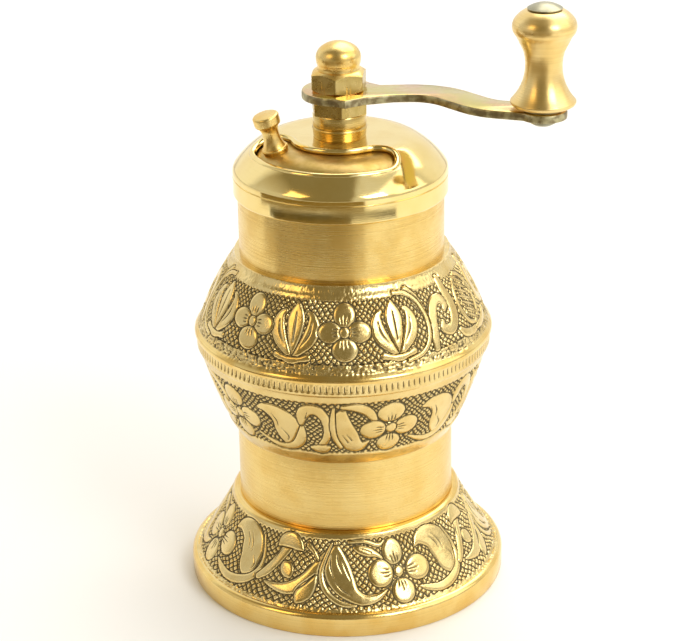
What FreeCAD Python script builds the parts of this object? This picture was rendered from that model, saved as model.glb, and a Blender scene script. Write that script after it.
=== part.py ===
"""Brass pepper mill with a crank: grounds cup, mill body, filler door, crank, burrs.

Millimetres, +Z up.  The origin is the centre of the foot's underside, on the mill's axis.
The crank points along +X and the filler door's knob stands to the left of the front (-Y).
"""
import FreeCAD, Part
import math
import os

V = FreeCAD.Vector
AXIS_START = V(0, 0, 0)
UP = V(0, 0, 1)

# ---------------------------------------------------------------- driving dimensions
RUNNING_GAP = 0.05       # radial clearance of every running fit

# foot and grounds cup
FOOT_R = 32.6
FOOT_BAND_H = 3.9        # plain band round the foot
FOOT_H = 18.3            # the flare ends here
FLARE_TOP_R = 23.4
CUP_R = 22.0             # plain cylinder between foot and bowl
CUP_INNER_R = 19.8
CUP_SHOULDER_Z = 33.35   # the bowl rests here
SPIGOT_R = 21.0          # upper end of the cup, inside the bowl
SPIGOT_TOP_Z = 41.0
PLATE_R = 30.2
PLATE_T = 1.2

# bowl and shoulder
BOWL_BOTTOM_R = 22.4
BAND_R = 29.7            # milled band at the widest place
BAND_Z = 51.2
SPLIT_Z = 53.75          # bowl below, shoulder above
BEAD_R = 30.1
NECK_Z = 70.8
LIP_Z = 49.5             # the shoulder's lip reaches down to here, inside the bowl
LIP_R = 27.4
WEB_Z = 41.3             # web that carries the burr
WEB_T = 2.0

# hopper tube and cover
TUBE_R = 20.5
TUBE_INNER_R = 19.3
TUBE_Z0 = 66.0
TUBE_Z1 = 86.0
COVER_R = 21.3
COVER_Z0 = 82.85
COVER_TOP_Z = 94.05
COVER_T = 0.9
CONE_DEG = 41.7          # slope of the cover's shoulder
CONE_R = 14.75           # where the flat top and the cone would meet
CROWN_R = 8.0            # rounding between flat top and cone
CORNER_R = 2.0           # rounding between cone and skirt
SLOT_R = 13.35           # filling slot: centre line, half width, angles of its ends
SLOT_HALF = 4.15
SLOT_A0 = 193.0
SLOT_A1 = 301.0

# filler door
DOOR_GAP = 0.2
DOOR_T = 0.8
DOOR_DEPTH = COVER_T + DOOR_GAP                      # the door's face under the cover's
DOOR_WASHER_Z = COVER_TOP_Z - DOOR_DEPTH - DOOR_T - DOOR_GAP
DOOR_WASHER_T = 0.6
DOOR_HUB_R = 8.0
DOOR_EDGE_R = 18.7
DOOR_A0 = 170.0
DOOR_A1 = 325.0
KNOB_A = 202.0
KNOB_R = 13.45
KNOB_TILT = 15.0

# centre stack, from the cover up
SHAFT_R = 3.0
BUSH_SHANK_R = 4.2
BUSH_TOP_Z = 96.3
COLLAR_TOP_Z = 98.9
NUT_TOP_Z = 101.9
ARM_T = 1.6
ARM_TOP_Z = NUT_TOP_Z + ARM_T
NUT_AF = 10.2
CAP_AF = 10.0
SQUARE = 4.3             # square on the shaft's upper end
THREAD_R = 2.95
TOP_THREAD_R = 2.45
SHAFT_TOP_Z = 110.5

# crank arm, seen from above
ARM_HALF = 3.6
HUB_R = 7.3
EYE_R = 4.6
EYE = V(38.2, -15.8, 0)
PIN_R = 2.0

# burrs, bridge and spring
STATOR_R = 13.0
STATOR_Z0 = 34.5
FLANGE_R = 18.5
FLANGE_T = 2.0
ROTOR_Z0 = 34.6
ROTOR_TOP_Z = 46.0
ROTOR_SQUARE = 4.4
BRIDGE_Z = 51.0
BRIDGE_T = 1.6
BRIDGE_HALF_W = 4.0
BRIDGE_LEG_X = 18.8
BRIDGE_FOOT_X = 24.4
BRIDGE_SCREW_X = 22.5
BURR_SCREW_R = 16.0
SCREW_R = 1.1
SCREW_HEAD_R = 1.9
END_THREAD_R = 2.0
SHAFT_BOTTOM_Z = 29.8


# ---------------------------------------------------------------- helpers
def point(p):
    """(r, z) in the half plane that is turned about the axis."""
    return V(p[0], 0, p[1])


def outline(start, *steps):
    """Closed outline from points.  A step is (r, z), or (mid, end) for an arc."""
    edges = []
    here = start
    for step in list(steps) + [start]:
        if isinstance(step[0], tuple):
            mid, end = step
            edges.append(Part.Arc(point(here), point(mid), point(end)).toShape())
        else:
            end = step
            if end != here:
                edges.append(Part.LineSegment(point(here), point(end)).toShape())
        here = end
    return Part.Wire(edges)


def cap(r, z, top):
    """Step for a spherical cap from the edge (r, z) up to the axis at height top."""
    rise = top - z
    radius = (r * r + rise * rise) / (2 * rise)
    half = math.asin(r / radius) / 2
    mid = (radius * math.sin(half), top - radius + radius * math.cos(half))
    return (mid, (0, top))


def rounded_cap(r, z, top, side):
    """Two tangent arcs: side radius at (r, z), then a spherical cap up to the axis."""
    inset = r - side
    rise = top - z
    radius = (rise * rise + inset * inset - side * side) / (2 * (rise - side))
    lean = math.atan2(inset, radius - rise)
    centre = (inset, z)
    joint = (centre[0] + side * math.sin(lean), centre[1] + side * math.cos(lean))
    half = (math.pi / 2 + lean) / 2
    mid = (centre[0] + side * math.sin(half), centre[1] + side * math.cos(half))
    return [(mid, joint), cap(joint[0], joint[1], top)]


def turned(wire, degrees=360.0, start=0.0):
    """Solid of revolution about Z, from the angle start."""
    shape = Part.Face(wire).revolve(AXIS_START, UP, degrees)
    shape.rotate(AXIS_START, UP, start)
    return shape


def disc(radius, z0, z1, x=0.0, y=0.0):
    """Plain cylinder between two heights."""
    return Part.makeCylinder(radius, z1 - z0, V(x, y, z0))


def ring(outer, inner, z0, z1):
    """Plain ring between two heights."""
    return disc(outer, z0, z1).cut(disc(inner, z0 - 1, z1 + 1))


def block(x0, x1, y0, y1, z0, z1):
    """Box from its corners."""
    return Part.makeBox(x1 - x0, y1 - y0, z1 - z0, V(x0, y0, z0))


def hexagon(across_flats, z0, z1, vertex_deg):
    """Hexagonal prism with one vertex at the given angle."""
    radius = across_flats / math.sqrt(3)
    corners = []
    for i in range(7):
        a = math.radians(vertex_deg + 60 * i)
        corners.append(V(radius * math.cos(a), radius * math.sin(a), z0))
    return Part.Face(Part.makePolygon(corners)).extrude(V(0, 0, z1 - z0))


def chamfered_hexagon(across_flats, z0, z1, vertex_deg, below=True):
    """Hexagonal nut body whose corners are turned off at 30 degrees."""
    corner = across_flats / math.sqrt(3)
    flat = across_flats / 2
    drop = (corner + 0.4 - flat) * math.tan(math.radians(30))
    low = drop if below else 0.0
    cone = outline((0, z0), (flat if below else corner + 0.4, z0), (corner + 0.4, z0 + low),
                   (corner + 0.4, z1 - drop), (flat, z1), (0, z1))
    return hexagon(across_flats, z0, z1, vertex_deg).common(turned(cone))


def square_bar(side, z0, z1):
    """Square bar on the axis."""
    return block(-side / 2, side / 2, -side / 2, side / 2, z0, z1)


def polar(radius, degrees, z=0.0):
    """Point at a radius and an angle."""
    a = math.radians(degrees)
    return V(radius * math.cos(a), radius * math.sin(a), z)


def save(name, shape):
    """Write one sub-part, after testing that each of its solids is closed."""
    shape = shape.removeSplitter()
    solids = shape.Solids
    if not solids or not shape.isValid():
        raise RuntimeError(name + " is not a valid solid")
    result = solids[0] if len(solids) == 1 else Part.makeCompound(solids)
    result.exportStep("parts/%s.step" % name)
    print("%-20s solids %d  volume %8.1f" % (name, len(solids), result.Volume))


# ---------------------------------------------------------------- foot and grounds cup
def foot_flare():
    """Cast foot: plain band, flared shell and a thick neck that takes the cup's tube."""
    neck_z = 13.5
    neck_r = SPIGOT_R - 0.1
    inner_top_r = 23.9
    return turned(outline(
        (PLATE_R, 0), (FOOT_R, 0), (FOOT_R, FOOT_BAND_H),
        ((32.3, 4.45), (31.2, 4.85)),
        ((27.0, 11.3), (FLARE_TOP_R, 17.85)),
        ((22.8, 18.25), (CUP_R, FOOT_H)),
        (neck_r, FOOT_H), (neck_r, neck_z), (inner_top_r, neck_z),
        (28.6, 5.2), (PLATE_R, 4.0)))


def cup_tube():
    """Drawn tube: spigot into the foot, plain cylinder, thinner spigot into the bowl."""
    return turned(outline(
        (CUP_INNER_R, 13.5), (SPIGOT_R - 0.1, 13.5), (SPIGOT_R - 0.1, FOOT_H), (CUP_R, FOOT_H),
        (CUP_R, CUP_SHOULDER_Z), (SPIGOT_R, CUP_SHOULDER_Z),
        (SPIGOT_R, SPIGOT_TOP_Z - 0.4), (SPIGOT_R - 0.4, SPIGOT_TOP_Z), (CUP_INNER_R, SPIGOT_TOP_Z)))


def base_plate():
    """Disc pressed into the foot, flush with its underside."""
    return disc(PLATE_R, 0, PLATE_T)


# ---------------------------------------------------------------- mill body
def lower_bowl():
    """Cast bowl with a web inside that carries the burr and the bridge."""
    bore_r = SPIGOT_R + RUNNING_GAP
    web_top = WEB_Z + WEB_T
    body = turned(outline(
        (bore_r, CUP_SHOULDER_Z), (BOWL_BOTTOM_R, CUP_SHOULDER_Z), ((23.0, 34.4), (23.9, 36.0)),
        ((26.95, 43.5), (29.2, 50.75)),
        (BAND_R, BAND_Z), (BAND_R, SPLIT_Z), (LIP_R, SPLIT_Z), (LIP_R, LIP_Z), (26.7, LIP_Z),
        (25.3, web_top), (STATOR_R, web_top), (STATOR_R, WEB_Z), (bore_r, WEB_Z)))
    for hole in burr_screw_places() + bridge_screw_places():
        body = body.cut(disc(SCREW_R, WEB_Z - 1, web_top + 1, hole.x, hole.y))
    return body


def shoulder_shell():
    """Cast shoulder: bead at the split, domed shell, neck round the hopper tube, inner lip."""
    return turned(outline(
        (BAND_R - 0.1, SPLIT_Z), (30.0, SPLIT_Z),
        ((BEAD_R, 54.35), (29.8, 54.95)), (29.3, 55.6),
        ((26.1, 63.1), (22.6, 69.0)), ((21.9, 69.8), (21.5, NECK_Z)),
        (TUBE_R, NECK_Z), (TUBE_R, TUBE_Z0), (22.4, TUBE_Z0),
        ((25.0, 61.5), (26.2, 57.5)), (26.2, LIP_Z), (LIP_R, LIP_Z), (LIP_R, SPLIT_Z)))


def hopper_tube():
    """Brushed tube between shoulder and cover."""
    return ring(TUBE_R, TUBE_INNER_R, TUBE_Z0, TUBE_Z1)


def dome_point(slope_deg, depth, corner=False):
    """Point of the cover's profile where it slopes by slope_deg, depth under the outside."""
    t = math.radians(CONE_DEG / 2)
    s = math.radians(slope_deg)
    if corner:
        centre_r = COVER_R - CORNER_R
        cone_z = COVER_TOP_Z - (COVER_R - CONE_R) * math.tan(math.radians(CONE_DEG))
        centre_z = cone_z - CORNER_R * math.tan(math.radians((90 - CONE_DEG) / 2))
        radius = CORNER_R - depth
    else:
        centre_r = CONE_R - CROWN_R * math.tan(t)
        centre_z = COVER_TOP_Z - CROWN_R
        radius = CROWN_R - depth
    return (centre_r + radius * math.sin(s), centre_z + radius * math.cos(s))


def dome_profile(depth, below):
    """Flat, crown, cone and corner of the cover, at one depth, closed below by points."""
    half = CONE_DEG / 2
    mid_corner = (CONE_DEG + 90) / 2
    return outline(
        (0, COVER_TOP_Z - depth), dome_point(0, depth),
        (dome_point(half, depth), dome_point(CONE_DEG, depth)),
        dome_point(CONE_DEG, depth, True),
        (dome_point(mid_corner, depth, True), dome_point(90, depth, True)), *below)


def slot_prism(half_width, z0, z1):
    """Curved slot with round ends, as a prism between two heights."""
    outer = SLOT_R + half_width
    inner = SLOT_R - half_width
    middle = (SLOT_A0 + SLOT_A1) / 2
    edges = [
        Part.Arc(polar(outer, SLOT_A0), polar(outer, middle), polar(outer, SLOT_A1)),
        Part.Arc(polar(outer, SLOT_A1), slot_tip(SLOT_A1, half_width), polar(inner, SLOT_A1)),
        Part.Arc(polar(inner, SLOT_A1), polar(inner, middle), polar(inner, SLOT_A0)),
        Part.Arc(polar(inner, SLOT_A0), slot_tip(SLOT_A0, -half_width), polar(outer, SLOT_A0))]
    face = Part.Face(Part.Wire([e.toShape() for e in edges]))
    face.translate(V(0, 0, z0))
    return face.extrude(V(0, 0, z1 - z0))


def slot_tip(degrees, reach):
    """Farthest point of a round slot end, square to the radius through its centre."""
    centre = polar(SLOT_R, degrees)
    return centre + polar(reach, degrees + 90)


def cover():
    """Spun cover: skirt with a fine groove, cone and flat top, with the filling slot."""
    groove_z = 86.6
    groove = 0.16
    outside = dome_profile(0, [
        (COVER_R, groove_z + groove), ((COVER_R - groove, groove_z), (COVER_R, groove_z - groove)),
        (COVER_R, COVER_Z0 + 0.3), (COVER_R - 0.2, COVER_Z0), (0, COVER_Z0)])
    inside = dome_profile(COVER_T, [(TUBE_R, COVER_Z0 - 1), (0, COVER_Z0 - 1)])
    shell = turned(outside).cut(turned(inside).fuse(disc(TUBE_R, COVER_Z0 - 1, TUBE_Z1)))
    shell = shell.cut(slot_prism(SLOT_HALF, COVER_Z0 + 1, COVER_TOP_Z + 1))
    return shell.cut(disc(BUSH_SHANK_R, COVER_Z0, COVER_TOP_Z + 1))


def cover_bush():
    """Turned bush: round flange on the cover, threaded shank below, bore for the shaft."""
    bore = SHAFT_R + RUNNING_GAP
    shank_z = 88.6
    return turned(outline(
        (bore, shank_z), (BUSH_SHANK_R, shank_z), (BUSH_SHANK_R, COVER_TOP_Z), (5.15, COVER_TOP_Z),
        (5.3, 95.6), ((5.45, 95.95), (5.3, BUSH_TOP_Z)), (bore, BUSH_TOP_Z)))


def door_washer():
    """Washer on the bush's shank that holds the door up."""
    return ring(7.4, BUSH_SHANK_R, DOOR_WASHER_Z - DOOR_WASHER_T, DOOR_WASHER_Z)


def bush_nut():
    """Nut under the washer."""
    top = DOOR_WASHER_Z - DOOR_WASHER_T
    return chamfered_hexagon(11.0, 89.0, top, 0).cut(disc(BUSH_SHANK_R, 80, 100))


def thrust_collar():
    """Plain collar that the adjusting nut turns on."""
    bore = SHAFT_R + RUNNING_GAP
    return turned(outline(
        (bore, BUSH_TOP_Z), (5.2, BUSH_TOP_Z), (5.25, BUSH_TOP_Z + 0.3), (5.25, COLLAR_TOP_Z - 0.3),
        (5.1, COLLAR_TOP_Z), (bore, COLLAR_TOP_Z)))


# ---------------------------------------------------------------- burrs and bridge

def burr_screw_places():
    """Screws of the outer burr, clear of the bridge's legs."""
    return [polar(BURR_SCREW_R, a) for a in (90, 210, 330)]


def bridge_screw_places():
    """One screw in each foot of the bridge."""
    return [V(x, 0, 0) for x in (-BRIDGE_SCREW_X, BRIDGE_SCREW_X)]


def stator_burr():
    """Outer burr: flanged steel ring with grooves down its inner wall."""
    web_top = WEB_Z + WEB_T
    top = web_top + FLANGE_T
    grooves = 20
    body = turned(outline(
        (10.95, STATOR_Z0), (STATOR_R, STATOR_Z0), (STATOR_R, web_top), (FLANGE_R, web_top),
        (FLANGE_R, top), (11.2, top), (10.5, 37.5)))
    for i in range(grooves):
        cutter = Part.makeBox(1.1, 1.1, 20, V(-0.55, -0.55, 0))
        cutter.rotate(V(0, 0, 0), UP, 45)
        cutter.translate(V(10.9, 0, 30))
        cutter.rotate(AXIS_START, UP, 360 / grooves * i)
        body = body.cut(cutter)
    for hole in burr_screw_places():
        body = body.cut(disc(SCREW_R, web_top - 1, top + 1, hole.x, hole.y))
    return body


def rotor_burr():
    """Inner burr: steel cone, wider below, with slanting grooves and a square hole."""
    grooves = 14
    top_r = 5.2
    land_z = 37.5
    land_r = 10.2
    body = turned(outline(
        (0, ROTOR_Z0), (10.6, ROTOR_Z0), (land_r, land_z), (top_r, ROTOR_TOP_Z), (0, ROTOR_TOP_Z)))
    slope = math.degrees(math.atan2(land_r - top_r, ROTOR_TOP_Z - land_z))
    for i in range(grooves):
        cutter = Part.makeBox(1.2, 1.2, 30, V(-0.6, -0.6, -15))
        cutter.rotate(V(0, 0, 0), UP, 45)
        cutter.rotate(V(0, 0, 0), V(0, 1, 0), -slope)
        cutter.translate(V((land_r + top_r) / 2 + 0.25, 0, (land_z + ROTOR_TOP_Z) / 2))
        cutter.rotate(AXIS_START, UP, 360 / grooves * i)
        body = body.cut(cutter)
    return body.cut(square_bar(ROTOR_SQUARE, 30, 50))


def screw(place, z_seat, z_tip):
    """Pan-head screw standing on z_seat."""
    head = turned(outline(
        (0, z_seat), (SCREW_HEAD_R, z_seat), (SCREW_HEAD_R, z_seat + 0.8),
        cap(SCREW_HEAD_R, z_seat + 0.8, z_seat + 1.4)))
    slot = block(-3, 3, -0.25, 0.25, z_seat + 0.8, z_seat + 2)
    shape = head.fuse(disc(SCREW_R, z_tip, z_seat)).cut(slot)
    shape.translate(V(place.x, place.y, 0))
    return shape


def burr_screws():
    """Three screws that hold the outer burr to the web."""
    seat = WEB_Z + WEB_T + FLANGE_T
    return Part.makeCompound([screw(p, seat, WEB_Z) for p in burr_screw_places()])


def shaft_bridge():
    """Bent steel strip over the burrs, with a hole for its bush."""
    web_top = WEB_Z + WEB_T
    top = BRIDGE_Z + BRIDGE_T
    leg_out = BRIDGE_LEG_X + BRIDGE_T
    w = BRIDGE_HALF_W
    body = block(-leg_out, leg_out, -w, w, BRIDGE_Z, top)
    for side in (-1, 1):
        leg_x = sorted((side * BRIDGE_LEG_X, side * leg_out))
        foot_x = sorted((side * BRIDGE_LEG_X, side * BRIDGE_FOOT_X))
        body = body.fuse(block(leg_x[0], leg_x[1], -w, w, web_top, top))
        body = body.fuse(block(foot_x[0], foot_x[1], -w, w, web_top, web_top + BRIDGE_T))
    for hole in bridge_screw_places():
        body = body.cut(disc(SCREW_R, web_top - 1, web_top + 3, hole.x, hole.y))
    return body.cut(disc(3.7, BRIDGE_Z - 1, top + 1))


def bridge_bush():
    """Small flanged bush that guides the shaft in the bridge."""
    top = BRIDGE_Z + BRIDGE_T
    bore = SHAFT_R + RUNNING_GAP
    return turned(outline(
        (bore, 50.3), (3.7, 50.3), (3.7, top), (5.0, top), (5.0, top + 0.9), (bore, top + 0.9)))


def bridge_screws():
    """Two screws through the bridge's feet."""
    seat = WEB_Z + WEB_T + BRIDGE_T
    return Part.makeCompound([screw(p, seat, WEB_Z) for p in bridge_screw_places()])


# ---------------------------------------------------------------- filler door
def door_stations(depth):
    """The door's profile points at one depth: flat end, crown, cone's end."""
    crown = dome_point(CONE_DEG, depth)
    slope = math.tan(math.radians(CONE_DEG))
    edge = (DOOR_EDGE_R, crown[1] - (DOOR_EDGE_R - crown[0]) * slope)
    return dome_point(0, depth), dome_point(CONE_DEG / 2, depth), crown, edge


def filler_door():
    """Pressed plate under the cover's top: a ring round the bush and a curved sector."""
    flat, mid, crown, edge = door_stations(DOOR_DEPTH)
    low_flat, low_mid, low_crown, low_edge = door_stations(DOOR_DEPTH + DOOR_T)
    sector = turned(outline(
        (6.0, COVER_TOP_Z - DOOR_DEPTH), flat, (mid, crown), edge, low_edge, low_crown,
        (low_mid, low_flat), (6.0, COVER_TOP_Z - DOOR_DEPTH - DOOR_T)), DOOR_A1 - DOOR_A0, DOOR_A0)
    hub_r = BUSH_SHANK_R + RUNNING_GAP
    hub = ring(DOOR_HUB_R, hub_r, COVER_TOP_Z - DOOR_DEPTH - DOOR_T, COVER_TOP_Z - DOOR_DEPTH)
    door = sector.fuse(hub)
    return door.cut(place_on_door(disc(SCREW_R, -5, 5)))


def place_on_door(shape):
    """Move a shape made at the origin to the knob's seat, square to the door's crown."""
    seat_z = dome_point(KNOB_TILT, DOOR_DEPTH)[1]
    shape.rotate(V(0, 0, 0), V(0, 1, 0), KNOB_TILT)
    shape.translate(V(KNOB_R, 0, seat_z))
    shape.rotate(AXIS_START, UP, KNOB_A)
    return shape


def door_knob():
    """Turned knob: base ring, waisted stem and flat head, standing on the door."""
    knob = turned(outline(
        (0, -1.0), (2.45, -1.0), (2.65, 0.25), ((2.75, 0.6), (2.6, 0.9)), (2.35, 0.95),
        ((1.75, 2.6), (1.65, 4.0)), ((1.85, 5.0), (2.5, 5.75)), (2.6, 6.1), (2.6, 7.3),
        ((2.5, 7.6), (2.2, 7.75)), (0, 7.85)))
    knob = place_on_door(knob)
    flat, mid, crown, edge = door_stations(DOOR_DEPTH)
    below = turned(outline((0, 80), (0, COVER_TOP_Z - DOOR_DEPTH), flat, (mid, crown), edge,
                           (DOOR_EDGE_R, 80)))
    return knob.cut(below).cut(place_on_door(disc(SCREW_R, -5, 2.2)))


def door_knob_screw():
    """Screw from under the door into the knob."""
    under_curve = 0.4
    head_top = -DOOR_T - under_curve
    head = turned(outline(
        (0, head_top - 1.0), (1.3, head_top - 1.0), (1.9, head_top - 0.5), (1.9, head_top),
        (0, head_top)))
    return place_on_door(head.fuse(disc(SCREW_R, head_top, 2.0)))


# ---------------------------------------------------------------- crank
def arm_blank():
    """Outline of the arm from above: hub, cranked strip of one width, eye."""
    first_bend_x = 13.5
    bend_r = 11.0
    steep = math.radians(-50)
    end_dir = math.radians(-14)
    y = -1.4
    p0 = V(0, y, 0)
    p1 = V(first_bend_x, y, 0)
    c1 = V(first_bend_x, y - bend_r, 0)
    p2 = c1 + polar(bend_r, 90 + math.degrees(steep))
    m1 = c1 + polar(bend_r, 90 + math.degrees(steep) / 2)
    run = 5.9
    p3 = p2 + V(run * math.cos(steep), run * math.sin(steep), 0)
    c2 = p3 + polar(bend_r, math.degrees(steep) + 90)
    p4 = c2 + polar(bend_r, math.degrees(end_dir) - 90)
    m2 = c2 + polar(bend_r, (math.degrees(steep + end_dir)) / 2 - 90)
    path = Part.Wire([
        Part.LineSegment(p0, p1).toShape(), Part.Arc(p1, m1, p2).toShape(),
        Part.LineSegment(p2, p3).toShape(), Part.Arc(p3, m2, p4).toShape(),
        Part.LineSegment(p4, EYE).toShape()])
    return path.makeOffset2D(ARM_HALF, 0, False, False, False)


def crank_arm():
    """Sheared steel strip: cornered hub with a square hole, S bend in plan, round eye."""
    z0 = NUT_TOP_Z
    strip = Part.Face(arm_blank())
    strip.translate(V(0, 0, z0))
    body = strip.extrude(V(0, 0, ARM_T))
    corner = Part.makePolygon([V(-5.6, -4.7, z0), V(1.1, -8.6, z0), V(4.8, -6.4, z0), V(10.5, -5.0, z0),
                               V(10.5, 0, z0), V(6.2, 3.9, z0), V(-5.6, -4.7, z0)])
    body = body.fuse(Part.Face(corner).extrude(V(0, 0, ARM_T)))
    body = body.fuse(disc(HUB_R, z0, ARM_TOP_Z)).fuse(disc(EYE_R, z0, ARM_TOP_Z, EYE.x, EYE.y))
    body = body.cut(square_bar(SQUARE + 2 * RUNNING_GAP, z0 - 1, ARM_TOP_Z + 1))
    return body.cut(disc(PIN_R, z0 - 1, ARM_TOP_Z + 1, EYE.x, EYE.y))


def cap_nut():
    """Domed nut on the shaft's end, blind bore, counterbored over the shaft's square."""
    hex_top = 107.5
    crown_r = 4.4
    crown_z = 109.8
    top = 113.0
    body = chamfered_hexagon(CAP_AF, ARM_TOP_Z, hex_top, -97.7)
    dome = turned(outline(
        (0, 106.5), (4.5, 106.5), (4.1, 107.9), ((4.12, 108.35), (4.3, 108.8)),
        (crown_r, crown_z), *rounded_cap(crown_r, crown_z, top, 2.6)))
    bore = disc(TOP_THREAD_R + RUNNING_GAP, ARM_TOP_Z - 1, 111.2)
    counterbore = disc(THREAD_R + 0.15, ARM_TOP_Z - 1, 105.0)
    return body.fuse(dome).cut(bore).cut(counterbore)


def grip_spindle():
    """Pin riveted in the arm's eye, with a domed head on top of the grip."""
    pin = turned(outline(
        (0, 100.5), (1.7, 100.5), (2.5, 101.0), (2.6, NUT_TOP_Z), (PIN_R, NUT_TOP_Z),
        (PIN_R, 122.75), (3.3, 122.75), (3.3, 122.95), cap(3.3, 122.95, 123.95)))
    pin.translate(EYE)
    return pin


def grip_washer():
    """Thin washer between arm and grip."""
    washer = ring(3.6, PIN_R, ARM_TOP_Z, 104.2)
    washer.translate(EYE)
    return washer


def adjusting_nut():
    """Hex nut between collar and arm that sets the burrs."""
    body = chamfered_hexagon(NUT_AF, COLLAR_TOP_Z, NUT_TOP_Z, -86.0, below=False)
    return body.cut(disc(THREAD_R + RUNNING_GAP, 90, 110))


def grip():
    """Turned baluster grip, free to spin on the spindle."""
    bore = PIN_R + RUNNING_GAP
    body = turned(outline(
        (bore, 104.25), (5.4, 104.25), (6.0, 104.6), (6.2, 104.9), (6.2, 105.25), (6.0, 105.5),
        ((3.62, 110.6), (3.9, 114.8)), (5.0, 117.1),
        ((6.03, 119.3), (5.26, 121.3)), ((4.6, 121.85), (3.5, 122.6)), (bore, 122.6)))
    body.translate(EYE)
    return body


# ---------------------------------------------------------------- shaft group
def drive_shaft():
    """Steel shaft: threaded lower end, square for the burr, round, thread, square, thread."""
    square_z = 101.4
    top_thread_z = 104.6
    shaft = disc(END_THREAD_R, SHAFT_BOTTOM_Z, ROTOR_Z0)
    shaft = shaft.fuse(square_bar(ROTOR_SQUARE, ROTOR_Z0, ROTOR_TOP_Z).common(disc(3.1, 30, 50)))
    shaft = shaft.fuse(disc(SHAFT_R, ROTOR_TOP_Z, 98.0))
    shaft = shaft.fuse(disc(THREAD_R, 98.0, square_z))
    shaft = shaft.fuse(square_bar(SQUARE, square_z, top_thread_z).common(disc(THREAD_R, 100, 110)))
    return shaft.fuse(disc(TOP_THREAD_R, top_thread_z, SHAFT_TOP_Z))


def rotor_washer():
    """Washer under the inner burr."""
    return ring(5.0, END_THREAD_R, ROTOR_Z0 - 0.7, ROTOR_Z0)


def rotor_nut():
    """Nut on the shaft's lower end."""
    top = ROTOR_Z0 - 0.7
    return chamfered_hexagon(7.0, top - 2.8, top, 0).cut(disc(END_THREAD_R, 28, 36))


def triangle(a, b, c):
    """Flat triangular face."""
    return Part.Face(Part.makePolygon([a, b, c, a]))


def burr_spring():
    """Compression spring between bridge and inner burr, its round wire drawn as a hexagon."""
    wire_r = 0.35
    coil_r = 4.45
    turns = 4
    steps = 18
    sides = 6
    z0 = ROTOR_TOP_Z + wire_r + 0.05
    height = BRIDGE_Z - wire_r - 0.05 - z0
    sections = []
    for i in range(turns * steps + 1):
        z = z0 + height * i / (turns * steps)
        corners = []
        for k in range(sides):
            corner = polar(wire_r, 360 / sides * k)
            corners.append(polar(coil_r + corner.x, 360 / steps * i, z + corner.y))
        sections.append(corners)
    faces = [Part.Face(Part.makePolygon(end + end[:1])) for end in (sections[0], sections[-1])]
    for low, high in zip(sections, sections[1:]):
        for k in range(sides):
            n = (k + 1) % sides
            faces.append(triangle(low[k], low[n], high[n]))
            faces.append(triangle(low[k], high[n], high[k]))
    return Part.Solid(Part.Shell(faces))


SUB_PARTS = [
    foot_flare, cup_tube, base_plate,
    lower_bowl, shoulder_shell, hopper_tube, cover, cover_bush, door_washer, bush_nut,
    thrust_collar, stator_burr, burr_screws, shaft_bridge, bridge_bush, bridge_screws,
    filler_door, door_knob, door_knob_screw,
    crank_arm, cap_nut, grip_spindle, grip_washer, adjusting_nut, grip,
    drive_shaft, rotor_burr, rotor_washer, rotor_nut, burr_spring]

os.makedirs("parts", exist_ok=True)
for make in SUB_PARTS:
    save(make.__name__, make())
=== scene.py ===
"""Brass pepper mill: engraved castings, turned brass, plated crank, studio light and camera.

Shapes are worked out in millimetres, in the CAD's frame, and written to the meshes in metres.
Angles are in degrees round the mill's axis: 0 is +X, where the crank points, and -90 the front.
"""
import math
from collections import namedtuple

import bmesh
import bpy
import numpy as np
from mathutils import Matrix, Vector
from mathutils.geometry import tessellate_polygon


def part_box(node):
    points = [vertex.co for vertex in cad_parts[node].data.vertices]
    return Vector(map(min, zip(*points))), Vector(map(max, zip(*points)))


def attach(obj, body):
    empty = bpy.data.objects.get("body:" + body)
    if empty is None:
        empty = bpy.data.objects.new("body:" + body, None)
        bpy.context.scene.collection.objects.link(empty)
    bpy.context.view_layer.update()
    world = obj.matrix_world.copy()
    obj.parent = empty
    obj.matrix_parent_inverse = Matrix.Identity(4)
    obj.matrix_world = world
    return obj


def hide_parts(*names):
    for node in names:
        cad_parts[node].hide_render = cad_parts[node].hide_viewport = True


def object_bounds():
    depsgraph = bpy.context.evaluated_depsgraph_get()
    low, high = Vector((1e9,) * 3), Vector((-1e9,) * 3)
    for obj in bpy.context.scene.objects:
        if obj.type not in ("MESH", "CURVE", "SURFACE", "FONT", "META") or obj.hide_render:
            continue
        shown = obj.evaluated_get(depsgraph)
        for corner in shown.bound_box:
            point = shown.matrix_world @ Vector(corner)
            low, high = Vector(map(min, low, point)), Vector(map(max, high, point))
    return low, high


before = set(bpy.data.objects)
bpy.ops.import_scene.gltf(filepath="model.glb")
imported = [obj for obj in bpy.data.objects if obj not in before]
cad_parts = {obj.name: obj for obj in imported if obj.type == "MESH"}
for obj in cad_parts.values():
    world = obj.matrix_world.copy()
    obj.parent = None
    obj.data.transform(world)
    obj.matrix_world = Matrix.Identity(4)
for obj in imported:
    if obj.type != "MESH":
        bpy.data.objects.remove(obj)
CAD_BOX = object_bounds()

MM = 0.001
Span = namedtuple("Span", "r low high")
Centre = namedtuple("Centre", "x y")


def span(node):
    """Half width across, lowest and highest point of a CAD node, in millimetres."""
    low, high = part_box(node)
    return Span((high.x - low.x) / 2 / MM, low.z / MM, high.z / MM)


def centre(node):
    """Middle of a CAD node seen from above, in millimetres."""
    low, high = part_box(node)
    return Centre((low.x + high.x) / 2 / MM, (low.y + high.y) / 2 / MM)


FOOT, CUP, BOWL, SHOULDER = map(span, ("foot_flare", "cup_tube", "lower_bowl", "shoulder_shell"))
TUBE, COVER, BUSH = map(span, ("hopper_tube", "cover", "cover_bush"))
COLLAR, NUT, CAP = map(span, ("thrust_collar", "adjusting_nut", "cap_nut"))
ARM, GRIP, PIN = map(span, ("crank_arm", "grip", "grip_spindle"))
PIN_AT = centre("grip_spindle")
AXIS = Centre(0, 0)

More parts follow.
